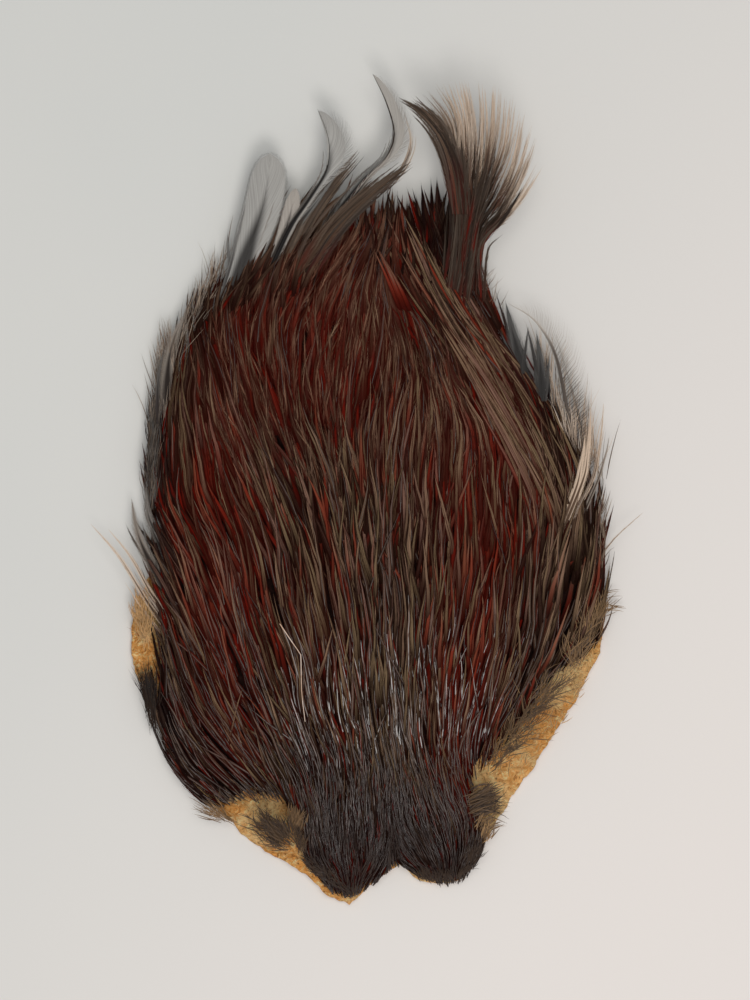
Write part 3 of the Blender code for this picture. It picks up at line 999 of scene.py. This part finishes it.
PLUME_BASE = [
    [(-58, 50), (-53, 64), (-46, 79), (-37, 97)],
    [(-46, 56), (-40, 74), (-32, 92), (-21, 110)],
    [(-32, 60), (-26, 78), (-16, 97), (-4, 112)],
    [(-25, 66), (-18, 83), (-7, 101), (9, 113)],
]
EMBERS = [
    [(17, 60), (13, 72), (6, 87)],
    [(14, 60), (9, 72), (2, 87)],
]
FANS = [(-60, 20), (-55, 55), (-45, 75), (-20, 85), (15, 60), (40, 20), (10, -5), (-30, -10)]
HOLLOW = [
    [(-5, 66), (-4, 80), (-3, 93), (-3, 106)],
    [(14, 58), (15, 76), (15, 92), (12, 107)],
    [(27, 58), (26, 76), (24, 93), (20, 108)],
    [(31, 58), (29, 78), (27, 96), (25, 113)],
]


def add_spikes(plumage):
    """Dark hackles that stand in the hollow between the plumes and the crest."""
    xs, ys = guided(HOLLOW, 165, (0.1, 0.55), (0.28, 0.5), 2.6)
    count = len(xs)
    red = (rng.random(count) < 0.08) * 0.8
    values = drawn(count, tone=(0, 0.4), warm=(0, 0.3), cool=(0, 0.5))
    values.update(red=red, pale=np.zeros(count))
    add_laid(
        plumage, xs, ys, values, 4.0, (0.0, 2.0), (2.0, 3.4), 20,
        floor=6 + 4 * smooth(ys, 120, 95), reach=5.0, spread=1.2,
    )


def add_plume_bases(plumage):
    """Brown hackles that lean to the right where the loose plumes grow."""
    xs, ys = guided(PLUME_BASE, 210, (0.0, 0.55), (0.32, 0.5), 2.0)
    count = len(xs)
    values = plumage_values(xs[:, SEEN], ys[:, SEEN])
    values["red"] = values["red"] * (rng.random(count) < 0.12)
    values["warm"] = values["warm"] * 0.3
    add_laid(
        plumage, xs, ys, values, 4.0, (0.4, 2.6), (1.8, 3.0), 22,
        floor=8.5 + 2 * smooth(ys, 80, 100), reach=5.5, spread=1.2,
    )


def add_embers(plumage):
    """The bright red feathers that show beside the sweep."""
    xs, ys = guided(EMBERS, 8, (0.0, 0.12), (0.8, 0.9), 0.5)
    count = len(xs)
    values = plumage_values(xs[:, SEEN], ys[:, SEEN])
    values["red"] = np.ones(count)
    values["tone"] = rng.uniform(0.9, 1.5, count)
    add_laid(plumage, xs, ys, values, 2.0, (3.2, 4.4), (1.6, 2.4), 16, roll=0)


def add_fans(plumage):
    """Small feathers whose pale barbs stand apart, over the red of the others."""
    x, y = scatter(800, FANS)
    xs, ys = trace(x, y, rng.uniform(15, 24, len(x)), rng.normal(0, 8, len(x)))
    keep = outside(PLUMAGE_OUTLINE, xs[:, TIP], ys[:, TIP]) < 0
    xs, ys = xs[keep], ys[keep]
    count = len(xs)
    values = plumage_values(xs[:, SEEN], ys[:, SEEN])
    values["red"] = values["red"] * 0.5
    values["tone"] = rng.uniform(0.2, 0.7, count)
    values["pale"] = rng.uniform(0.0, 0.55, count)
    add_laid(
        plumage, xs, ys, values, 3.0, (0.8, 2.8), (3.0, 5.0), 9, core=0.12, columns=3,
        reach=8.0, spread=0.8, foot=0.4, start=0.3,
    )


def make_sweep(finish):
    """The feathers that lie over the hackles of the wide end and the middle."""
    plumage = Plumage()
    for add in (add_sweep, add_spikes, add_plume_bases, add_embers, add_fans):
        add(plumage)
    wear(plumage.build("hackles_sweep", finish), "taupe_hackle", "hackles")


# The crest

CREST_SECTIONS = 12
CREST_TIPS = [
    [(31, 92), (30, 112), (26, 127), (16, 138)],
    [(32, 94), (32, 112), (30, 129), (22, 140)],
    [(34, 96), (33, 114), (32, 130), (27, 143)],
    [(37, 96), (38, 114), (38, 130), (36, 144)],
    [(38, 95), (42, 112), (44, 128), (44, 142)],
    [(39, 93), (45, 108), (50, 121), (52, 137)],
    [(40, 90), (48, 100), (54, 113), (58, 127)],
    [(40, 86), (47, 94), (54, 101), (60, 109)],
]


def crest_guides():
    """The lines of the crest's tips, carried back to where they all grow."""
    return [[(22 + 2.6 * k, 50), (28 + 1.7 * k, 70), *tip] for k, tip in enumerate(CREST_TIPS)]


def crest_height(y):
    return 9 + 15 * np.sin(np.clip((y - 66) / 70, 0, 1) * math.pi / 2)


def add_crest_group(plumage, count, start, length, aside, thickness, breadth, barbs, **ranges):
    """Feathers between the crest's guides, pale only to the right of its hook."""
    colours = drawn(count, **ranges)
    breadth = rng.uniform(*breadth, count)
    xs, ys = guided(crest_guides(), count, start, length, aside, CREST_SECTIONS)
    colours["pale"] = colours["pale"] * smooth(xs[:, -1], 16, 32)
    level = rng.uniform(-1, 1, count)[:, None] * thickness
    level = level * (1 - 0.4 * smooth(ys, 60, 140))
    z = np.maximum(crest_height(ys) + level, surface.at(xs, ys) * smooth(ys, 120, 60) + 0.6)
    root = np.linspace(0, 1, CREST_SECTIONS)[None, :]
    z = z - 3.0 * (1 - smooth(root, 0, 0.2)) * smooth(ys, 95, 70)
    shaft = np.stack([xs, ys, z], -1)
    normal = np.broadcast_to(UP, shaft.shape)
    group = Feathers(shaft, normal, breadth, roll=rng.normal(0, 0.6, count), **colours)
    plumage.dress(group, **barbs)


def make_crest(finish):
    """The bundle of long hackles that stands off the wide end."""
    plumage = Plumage()
    add_crest_group(
        plumage, 215, (0.0, 0.36), (0.34, 0.44), 1.2, 4.0, (1.4, 2.8),
        {"each": 18, "core": 0.6, "reach": 6.0, "spread": 1.3, "foot": 0.45},
        tone=(0.0, 0.16), red=(0, 0.8), cool=(0, 0.2), pale=(0, 0.1),
    )
    add_crest_group(
        plumage, 130, (0.42, 0.6), (0.4, 0.58), 0.9, 3.0, (1.2, 2.5),
        {"each": 20, "core": 0.3, "reach": 7.0},
        tone=(0.4, 1.0), red=(0, 0.2), cool=(0, 0.3), pale=(0.9, 1.0),
    )
    add_plume(plumage, CREST_HOOK)
    wear(plumage.build("crest_hackles", finish), "taupe_hackle", "crest")


# The loose plumes

class Plume:
    """A single long feather: its path, its looks and its companions."""

    def __init__(self, path, breadth, core, pale, tone, red=0.0, cool=0.0, skew=0.0,
                 shape=hackle_shape, each=160, reach=6.0, foot=0.8, companions=0, ends=(0.4, 0.75)):
        self.path, self.breadth, self.core, self.pale = path, breadth, core, pale
        self.tone, self.red, self.cool, self.skew, self.shape = tone, red, cool, skew, shape
        self.each, self.reach, self.foot = each, reach, foot
        self.companions, self.ends = companions, ends


FORKED_PATH = [(-36, 76, 11), (-28, 93, 12.5), (-21, 103, 13.5), (-14.5, 113, 15), (-13, 121, 15),
               (-14, 128, 15), (-17, 135.5, 14)]
TALL_PATH = [(-16, 82, 12), (-10, 97, 13), (0, 111, 14.5), (7, 118, 15), (10.2, 127, 15.5),
             (7.5, 138, 15), (2.5, 148.5, 14)]
LONG_PLUMES = [
    Plume([(-52, 58, 9), (-44.4, 79, 10), (-41, 89, 11), (-36.9, 101, 12), (-34.8, 112, 12),
           (-34.2, 120.5, 12)], 18, 0.85, 1.0, 0.5, cool=1.0, shape=round_shape, each=200,
          reach=4.0, companions=9, ends=(0.3, 0.65)),
    Plume([(-33, 82, 11), (-28, 95, 12), (-25, 108, 12)], 8, 0.8, 0.9, 0.3, cool=0.8,
          shape=round_shape, each=100, reach=3.0),
    Plume([(-36, 66, 10), (-28, 84, 11), (-17, 104, 11.5), (-3, 121.5, 11)], 7, 0.4, 0.2, 0.15,
          companions=48, ends=(0.55, 1.0)),
    Plume(FORKED_PATH, 13, 0.6, 1.0, 0.1, cool=1.0, skew=0.8, shape=flag_shape, each=120,
          reach=7.0, foot=0.7, companions=5),
    Plume(FORKED_PATH, 1.5, 0.7, 0.1, 0.1, cool=0.8),
    Plume(TALL_PATH, 8, 0.6, 1.0, 0.2, cool=0.9, skew=0.9, shape=flag_shape, each=110,
          reach=7.0, foot=0.7, companions=7),
    Plume(TALL_PATH, 1.9, 0.7, 0.0, 0.25, red=0.3, cool=0.4),
    Plume([(6, 106, 14), (13, 115, 15), (16, 124, 15), (14, 134, 14)], 2.5, 0.2, 1.0, 0.6,
          cool=0.2, each=60, companions=4),
    Plume([(-23, 76, 13), (-13, 92, 15.5), (0, 105, 17), (16, 117, 17.5)], 7, 0.4, 0.1, 0.1,
          companions=48, ends=(0.55, 1.0)),
]
CREST_HOOK = Plume(
    [(34, 98, 22), (32, 112, 24), (28, 124, 25), (21, 133, 25), (12, 139, 24)], 6, 0.5, 0.1, 0.1,
    each=90, companions=30, ends=(0.7, 1.0),
)
SIDE_PLUMES = [
    Plume([(-68, -54, 10), (-78, -40, 9), (-88, -24, 8), (-98.5, -12, 6)], 2.2, 0.25, 1.6, 0.5,
          each=90, reach=5.0, companions=3),
    Plume([(-66, -50, 10), (-76, -38, 9), (-84, -24, 8), (-92, -14, 7)], 1.8, 0.3, 1.2, 0.4,
          each=90, reach=5.0, companions=3),
    Plume([(-70, -38, 9), (-78, -24, 8.5), (-82, -14, 8), (-84, -3, 6)], 5, 0.4, 0.5, 0.2,
          cool=0.6, each=120, reach=5.0, companions=6),
    Plume([(-68, -30, 9), (-75, -16, 8.5), (-78, -8, 8), (-79, 2, 6)], 5, 0.4, 0.4, 0.1,
          cool=0.8, each=120, reach=5.0, companions=5),
    Plume([(-70, 24, 9), (-71, 40, 8.5), (-69, 54, 8), (-63, 66, 7)], 7, 0.4, 0.5, 0.15,
          cool=0.6, each=200, companions=8),
    Plume([(56, 40, 14), (54, 50, 13.5), (52, 58, 12.5), (50, 67, 11)], 7, 0.5, 0.15, 0.3,
          cool=1.0, each=70, reach=7.0, companions=9),
    Plume([(63, 32, 13.5), (62.5, 41, 13), (62, 48, 12), (61, 56, 11)], 6, 0.5, 0.15, 0.3,
          cool=1.0, each=70, reach=7.0, companions=7),
    Plume([(75, 12, 9), (71, 33, 10), (67, 50, 10), (60, 61, 10), (51, 67, 9)], 12, 0.08, 1.4, 0.9,
          cool=0.7, skew=0.85, each=75, reach=11.0, foot=0.3, companions=1),
    Plume([(79, 2, 7), (77, 20, 8), (73, 38, 8), (68, 56, 7)], 8, 0.1, 1.4, 0.9,
          cool=0.8, skew=0.5, each=60, reach=10.0, foot=0.3, companions=1),
    Plume([(61, -32, 13), (69, -14, 13.3), (75, 1, 12.6), (76.6, 8, 12), (77.8, 14, 11),
           (78.3, 20, 10)], 3.0, 0.6, 1.5, 0.75, each=90, reach=4.0, companions=2),
    Plume([(63, -30, 13), (71, -12, 13.2), (77.5, 4, 12.3), (79, 12, 11.5), (80, 21, 10.5),
           (80.5, 30, 9)], 2.8, 0.6, 1.5, 0.75, each=90, reach=4.0, companions=2),
    Plume([(66, -30, 12.5), (74, -10, 12.5), (81, 4, 11.3), (83, 13, 10.5), (84.3, 22, 9.5),
           (85, 31, 8.5)], 1.5, 0.5, 0.9, 0.6, each=60, reach=4.0, companions=2),
    Plume([(68, -30, 12.5), (76, -12, 12.3), (82.5, 3, 10.8), (84.5, 9, 10), (86, 14, 9),
           (87, 19, 8)], 1.5, 0.5, 0.6, 0.5, cool=0.5, each=60, reach=4.0, companions=2),
    Plume([(76, -34, 9), (82, -26, 9), (89, -17, 8), (99, -8, 6)], 1.1, 0.3, 0.8, 0.5,
          each=30, reach=4.0, companions=1),
]


def one(value):
    return np.array([value], float)


def add_plume(plumage, plume):
    """A plume, and thinner feathers that grow beside its root."""
    shaft = spline(plume.path, np.linspace(0, 1, 22))[None]
    colours = {
        "tone": one(plume.tone), "red": one(plume.red), "cool": one(plume.cool),
        "pale": one(plume.pale), "seed": rng.random(1),
    }
    normal = np.broadcast_to(UP, shaft.shape)
    group = Feathers(shaft, normal, one(plume.breadth), skew=one(plume.skew), **colours)
    plumage.vanes(group, core=plume.core, arch=0.15, shape=plume.shape, columns=9)
    plumage.barbs(
        group, plume.each, core=plume.core, arch=0.15, shape=plume.shape, start=0.04,
        reach=plume.reach, foot=plume.foot, wild=0.1, bound=plume.shape is not hackle_shape,
    )
    plumage.shafts(group, 0.2)
    plumage.done(group)
    if plume.companions:
        add_companions(plumage, plume)


def add_companions(plumage, plume):
    """The thinner feathers beside a plume, which end at a share of its length."""
    count = plume.companions
    end = rng.uniform(*plume.ends, count)[:, None]
    shaft = spline(plume.path, end * np.linspace(0, 1, 12))
    spread = np.clip(plume.breadth * 0.3, 1.0, 2.2)
    off = rng.normal(0, spread, (count, 2))
    off = off[:, :1] + off[:, 1:] * np.linspace(0, 1, 12)
    shaft[..., 0] += off
    shaft[..., 2] += rng.uniform(-1.2, 0.4, count)[:, None]
    colours = {
        "tone": np.clip(plume.tone + rng.uniform(-0.1, 0.4, count), 0, 1),
        "red": rng.uniform(0, 0.4, count) * (1 - plume.cool),
        "cool": np.clip(plume.cool + rng.uniform(-0.2, 0.4, count), 0, 1),
        "pale": np.clip(plume.pale * rng.uniform(0.2, 0.9, count), 0, 1),
        "seed": rng.random(count),
    }
    normal = np.broadcast_to(UP, shaft.shape)
    group = Feathers(
        shaft, normal, np.clip(plume.breadth * 0.4, 1.0, 2.4) * rng.uniform(0.7, 1.3, count),
        roll=rng.normal(0, 0.4, count), **colours,
    )
    plumage.dress(group, 24, core=0.5, reach=5.0)


PLUME_PIECES = {
    "long_plumes": (
        LONG_PLUMES, ["fan_plume", "broad_plume", "forked_plume", "tall_plume", "short_plume"],
    ),
    "side_plumes": (
        SIDE_PLUMES, ["left_wisp", "left_tuft", "left_shoulder", "right_shoulder",
                      "right_fringe", "right_wisp", "right_stray"],
    ),
}


def make_plumes(finish):
    """The plumes of the wide end and of the flanks, each set in a piece."""
    for name, (plumes, nodes) in PLUME_PIECES.items():
        plumage = Plumage()
        for plume in plumes:
            add_plume(plumage, plume)
        wear(plumage.build(name, finish), "taupe_hackle", *nodes)


# Hairs, down and fringes

class Patch:
    """Where hairs grow: about a line from a to b, within a spread of it."""

    def __init__(self, a, b, spread, count, lean, wander, length, tone, rise=1.5, cool=0.0,
                 pale=0.0, width=0.26):
        self.a, self.b, self.spread, self.count = a, b, spread, count
        self.lean, self.wander, self.length, self.tone = lean, wander, length, tone
        self.rise, self.cool, self.pale, self.width = rise, cool, pale, width


FUZZ = [
    Patch((-81, -42), (-79, -55), 1.2, 110, 6, 12, (5, 10), (0.45, 0.9), width=0.34),
    Patch((-34, -121), (-28, -126), 2.0, 240, 42, 16, (6, 10), (0.0, 0.15), rise=3.5, width=0.36),
    Patch((-54, -116), (-47, -119), 0.8, 50, 60, 8, (6, 11), (0.15, 0.45), rise=1.0, width=0.3),
    Patch((-48, -117), (-24, -131), 1.4, 40, 30, 14, (2, 4), (0.7, 1.0), rise=0.6, width=0.22),
    Patch((-27, -118), (-23.5, -121), 0.8, 60, -6, 10, (5, 7), (0.12, 0.3), rise=2.0, width=0.5),
    Patch((84, -44), (72, -64), 1.8, 170, -14, 14, (6, 13), (0.1, 0.4), rise=2.0, width=0.34),
    Patch((66, -70), (46, -98), 2.0, 270, -34, 18, (6, 12), (0.0, 0.3), rise=2.5, width=0.3),
    Patch((76, -70), (56, -100), 1.4, 40, -30, 16, (3, 6), (0.5, 0.9), rise=0.8, width=0.3),
    Patch((37, -109), (40, -116), 1.4, 140, -72, 10, (7, 12), (0.0, 0.2), rise=3.0, width=0.45),
    Patch((40, -129), (33, -140), 0.9, 130, -25, 14, (3, 6), (0.0, 0.05), rise=0.8, width=0.25),
    Patch((32, -141), (20, -139), 0.9, 130, 20, 14, (3, 6), (0.0, 0.05), rise=0.8, width=0.25),
    Patch((-4, -145), (-21, -134), 0.9, 150, 35, 14, (3, 6), (0.0, 0.05), rise=0.8, width=0.25),
    Patch((-23, -130), (-26, -118), 0.9, 110, 5, 12, (3, 7), (0.0, 0.15), rise=0.8, width=0.25),
    Patch((-30, -110), (-56, -112), 0.8, 50, 36, 12, (4, 8), (0.0, 0.12), rise=1.2, width=0.25),
    Patch((41, -119), (43, -125), 1.2, 50, -35, 12, (4, 7), (0.1, 0.5), rise=1.2, width=0.4),
    Patch((84, -37), (86, -44), 1.0, 14, -78, 14, (4, 8), (0.2, 0.5), rise=0.5, width=0.35),
]
FUZZ_BEND, FRINGE_BEND = 40, 18
HAIR_SECTIONS = 5
FRINGE = [
    Patch((-77, -10), (-76, 26), 1.0, 280, -1, 5, (8, 15), (0.0, 0.35), cool=1.0, pale=0.35),
    Patch((-76, 22), (-70, 46), 1.6, 170, 2, 7, (10, 18), (0.3, 0.8), cool=0.5, pale=0.8),
    Patch((-70, 46), (-58, 66), 1.2, 70, -14, 8, (9, 18), (0.1, 0.6), cool=0.6, pale=0.9),
    Patch((-60, 66), (-48, 84), 1.2, 50, -14, 8, (8, 16), (0.2, 0.7), pale=0.8),
    Patch((40, 78), (48, 64), 0.8, 26, -24, 14, (4, 8), (0.2, 0.6), pale=0.9, width=0.18),
    Patch((62, 44), (77, 10), 1.2, 90, 2, 7, (12, 22), (0.4, 0.9), cool=0.6, pale=2.0, width=0.32),
    Patch((76, 20), (84, 2), 1.2, 40, -4, 8, (12, 24), (0.4, 0.9), pale=2.0, width=0.32),
    Patch((84, -5), (84, -30), 1.0, 60, -6, 7, (5, 10), (0.1, 0.6), rise=1.0, pale=0.5),
    Patch((-77, -74), (-76, -86), 1.2, 160, 8, 7, (10, 18), (0.0, 0.3), rise=1.0, cool=0.9),
]


def add_hairs(plumage, patch, bend):
    """A patch's hairs, each curved by up to about bend, in degrees."""
    count = patch.count
    share = rng.random(count)[:, None]
    start = np.array(patch.a) * (1 - share) + np.array(patch.b) * share
    start = start + rng.normal(0, patch.spread, (count, 2))
    length = rng.uniform(*patch.length, count)
    tuft = waves(start[:, 0], start[:, 1], 7.0, 1.9) * patch.wander * 2
    lean = patch.lean + tuft + rng.normal(0, patch.wander, count)
    curve = rng.normal(0, bend, count)

    def curved(i, x, y):
        return lean + curve * (i / (HAIR_SECTIONS - 1) - 0.3)

    x, y = leaning_lines(start[:, 0], start[:, 1], length, HAIR_SECTIONS, curved)
    t = np.linspace(0, 1, HAIR_SECTIONS)[None, :]
    rise = rng.uniform(0.1, 1.0, count)[:, None] * patch.rise
    ground = np.maximum(surface.at(x, y), 2.2)
    z = np.maximum(ground + rise * np.sin(t * 2.2) - 0.8 * (1 - t), 0.5)
    shaft = np.stack([x, y, z], -1)
    colours = {
        "tone": rng.uniform(*patch.tone, count), "red": np.zeros(count),
        "cool": patch.cool * rng.random(count), "pale": patch.pale * rng.random(count),
        "seed": rng.random(count),
    }
    width = patch.width * rng.uniform(0.6, 1.4, count)
    group = Feathers(shaft, np.broadcast_to(UP, shaft.shape), width, **colours)
    plumage.vanes(group, core=1.0, arch=0.8, columns=3)
    plumage.done(group)


def make_hairs(name, patches, bend, finish, node):
    """The hairs of some patches, in a piece that stands for a solid."""
    plumage = Plumage()
    for patch in patches:
        add_hairs(plumage, patch, bend)
    wear(plumage.build(name, finish), "taupe_hackle", node)


# The down under the hackles

def spokes(outline, centre, around):
    """Points round an outline, and the way to each from the centre."""
    ring = spline(outline + outline[:1], np.linspace(0, 1, around + 1)[:-1])
    away = ring - centre
    reach = np.linalg.norm(away, axis=1, keepdims=True)
    return ring, away / reach, reach


def ring_quads(rings, around):
    """Quads between closed rings of points, the first ring inside the next."""
    index = np.arange(rings * around).reshape(rings, around)
    after = np.roll(index, -1, axis=1)
    return np.stack([index[:-1], index[1:], after[1:], after[:-1]], -1).reshape(-1, 4)


def make_underbody(finish):
    """The matted down that shows between the hackles: a near-black sheet, partly the down's own
    dark colour and partly painted shade in the gaps.
    """
    around = 220
    shares = np.concatenate([np.linspace(0.02, 0.84, 40), [0.86, 0.87]])
    centre = np.array([2.0, -20.0])
    ring, way, reach = spokes(PLUMAGE_OUTLINE, centre, around)
    wider = 1.0 + 0.115 * smooth(-ring[:, 1], -50, -15)
    plan = centre + way[None] * (reach * wider[:, None] - 1.0)[None] * shares[:, None, None]
    x, y = plan[..., 0], plan[..., 1]
    z = surface.at(x, y) - 2.6 + 0.5 * waves(x, y, 9.0, 0.4)
    z = np.maximum(z, 1.5)
    z[-1] = 1.2
    verts = np.stack([x, y, z], -1).reshape(-1, 3)
    piece = mesh_piece("under_down", verts, [ring_quads(len(shares), around)], [], finish)
    wear(piece, "dark_hackle", "hackles")


# The skin

def make_skin(finish):
    """The dried skin, ragged and curled at its rim."""
    around = 540
    margin_width, inner_rings = 16.0, 14
    centre = np.array([2.0, -42.0])
    ring, way, reach = spokes(SKIN_OUTLINE, centre, around)
    ragged = 0.45 * waves(ring[:, 0], ring[:, 1], 11.0, 0.9)
    ragged = (ragged + 0.25 * waves(ring[:, 0], ring[:, 1], 3.1, 2.0))[None, :, None]
    inset = np.append(np.arange(0, margin_width, 0.8), margin_width)[::-1]
    margin = reach[None] - inset[:, None, None] + ragged * np.exp(-inset / 3)[:, None, None]
    inner = (reach[None] - margin_width) * np.linspace(0.02, 0.95, inner_rings)[:, None, None]
    out = np.concatenate([inner, margin])
    inset = np.append(np.full(inner_rings, margin_width), inset)[:, None]
    plan = centre + way[None] * out
    x, y = plan[..., 0], plan[..., 1]
    rim = np.exp(-inset / 4.0)
    curl = rim * (0.6 + 0.7 * waves(x, y, 46.0, 3.1))
    creases = 0.45 * waves(x, y, 8.0, 1.7) + 0.3 * waves(x, y, 3.4, 0.2)
    creases = creases + 0.16 * waves(x, y, 1.7, 2.6)
    top = 1.3 + np.maximum(curl, -0.3) + creases * (0.4 + 0.6 * rim)
    top = np.maximum(top - 1.5 * smooth(-outside(PLUMAGE_OUTLINE, x, y), 0.0, 2.5), 0.4)
    under = np.maximum(top[-1] - 1.1, 0) * np.array([[1.0], [0.4], [0.0]])
    rings = [np.stack([x, y, top], -1)]
    for ring, height in zip((-1, -8, 8), under):
        rings.append(np.stack([x[ring], y[ring], height], -1)[None])
    verts = np.concatenate(rings)
    quads = ring_quads(len(verts), around)
    piece = mesh_piece("rawhide", verts.reshape(-1, 3), [quads], [], finish)
    wear(piece, "hide", "skin")


QUILL_PATH = [(-30.6, -47.2, 18), (-27, -52.6, 18), (-23.6, -57.6, 18), (-23.1, -59.6, 18),
              (-22.8, -71.6, 18), (-21.6, -82.0, 18)]


def make_quill(finish):
    """The pale bare quill that lies on the hackles."""
    path = spline(QUILL_PATH, np.linspace(0, 1, 24))
    turn = np.linspace(0, 2 * math.pi, 9)[:-1]
    rings = []
    for k, point in enumerate(path):
        radius = 0.24 - 0.12 * k / len(path)
        circle = np.stack([np.cos(turn), 0 * turn, np.sin(turn)], -1) * radius
        rings.append(point + circle)
    verts = np.concatenate(rings)
    quads = ring_quads(len(rings), len(turn))
    piece = mesh_piece("loose_quill", verts, [quads], [], finish)
    wear(piece, "straw", "stray_quill")


# The stage

def make_stage():
    """The sheet of paper that the cape lies on."""
    bpy.ops.mesh.primitive_plane_add(size=6.0, location=(0, 0, -0.0002))
    floor = bpy.context.object
    floor.name = "paper_ground"
    floor.data.materials.append(paper_material())


def soft_light(name, place, target, size, power, colour):
    data = bpy.data.lights.new(name, "AREA")
    data.shape = "DISK"
    data.size = size
    data.energy = power
    data.color = colour
    light = bpy.data.objects.new(name, data)
    light.location = place
    aim = Vector(target) - Vector(place)
    light.rotation_euler = aim.to_track_quat("-Z", "Y").to_euler()
    bpy.context.scene.collection.objects.link(light)


def make_light():
    """Soft daylight from above and from the head end."""
    soft_light("overhead", (0.1, 0.2, 1.6), (0, 0, 0), 1.3, 9.5, (1.0, 0.97, 0.92))
    soft_light("head_side", (0.2, -0.8, 1.5), (0, -0.05, 0), 0.7, 10.0, (1.0, 0.965, 0.94))
    world = bpy.data.worlds.new("room")
    world.use_nodes = True
    background = world.node_tree.nodes["Background"]
    background.inputs[0].default_value = (0.93, 0.95, 1.0, 1)
    background.inputs[1].default_value = 0.36
    bpy.context.scene.world = world
    bpy.context.scene.view_settings.view_transform = "Standard"


def make_camera():
    """Straight above the cape, with its head end at the foot of the picture."""
    pixel, high, far = 0.36, 1000, 1400.0
    x, y = 3.24, -3.24
    data = bpy.data.cameras.new("camera")
    data.sensor_fit = "VERTICAL"
    data.sensor_height = 24.0
    data.lens = data.sensor_height * far / (pixel * high)
    camera = bpy.data.objects.new("camera", data)
    camera.location = (x * MM, y * MM, far * MM)
    bpy.context.scene.collection.objects.link(camera)
    bpy.context.scene.camera = camera


make_stage()
make_light()
make_camera()
make_skin(skin_material())
make_underbody(dark_down_and_gap_shade_material())
HACKLE, PLUME = hackle_material(), plume_material()
make_hackles(HACKLE, shaft_and_painted_glint_material())
make_sweep(HACKLE)
make_crest(PLUME)
make_plumes(PLUME)
make_hairs("skin_fuzz", FUZZ, FUZZ_BEND, fuzz_material(), "skin")
make_hairs("edge_fringe", FRINGE, FRINGE_BEND, PLUME, "hackles")
make_quill(quill_material())
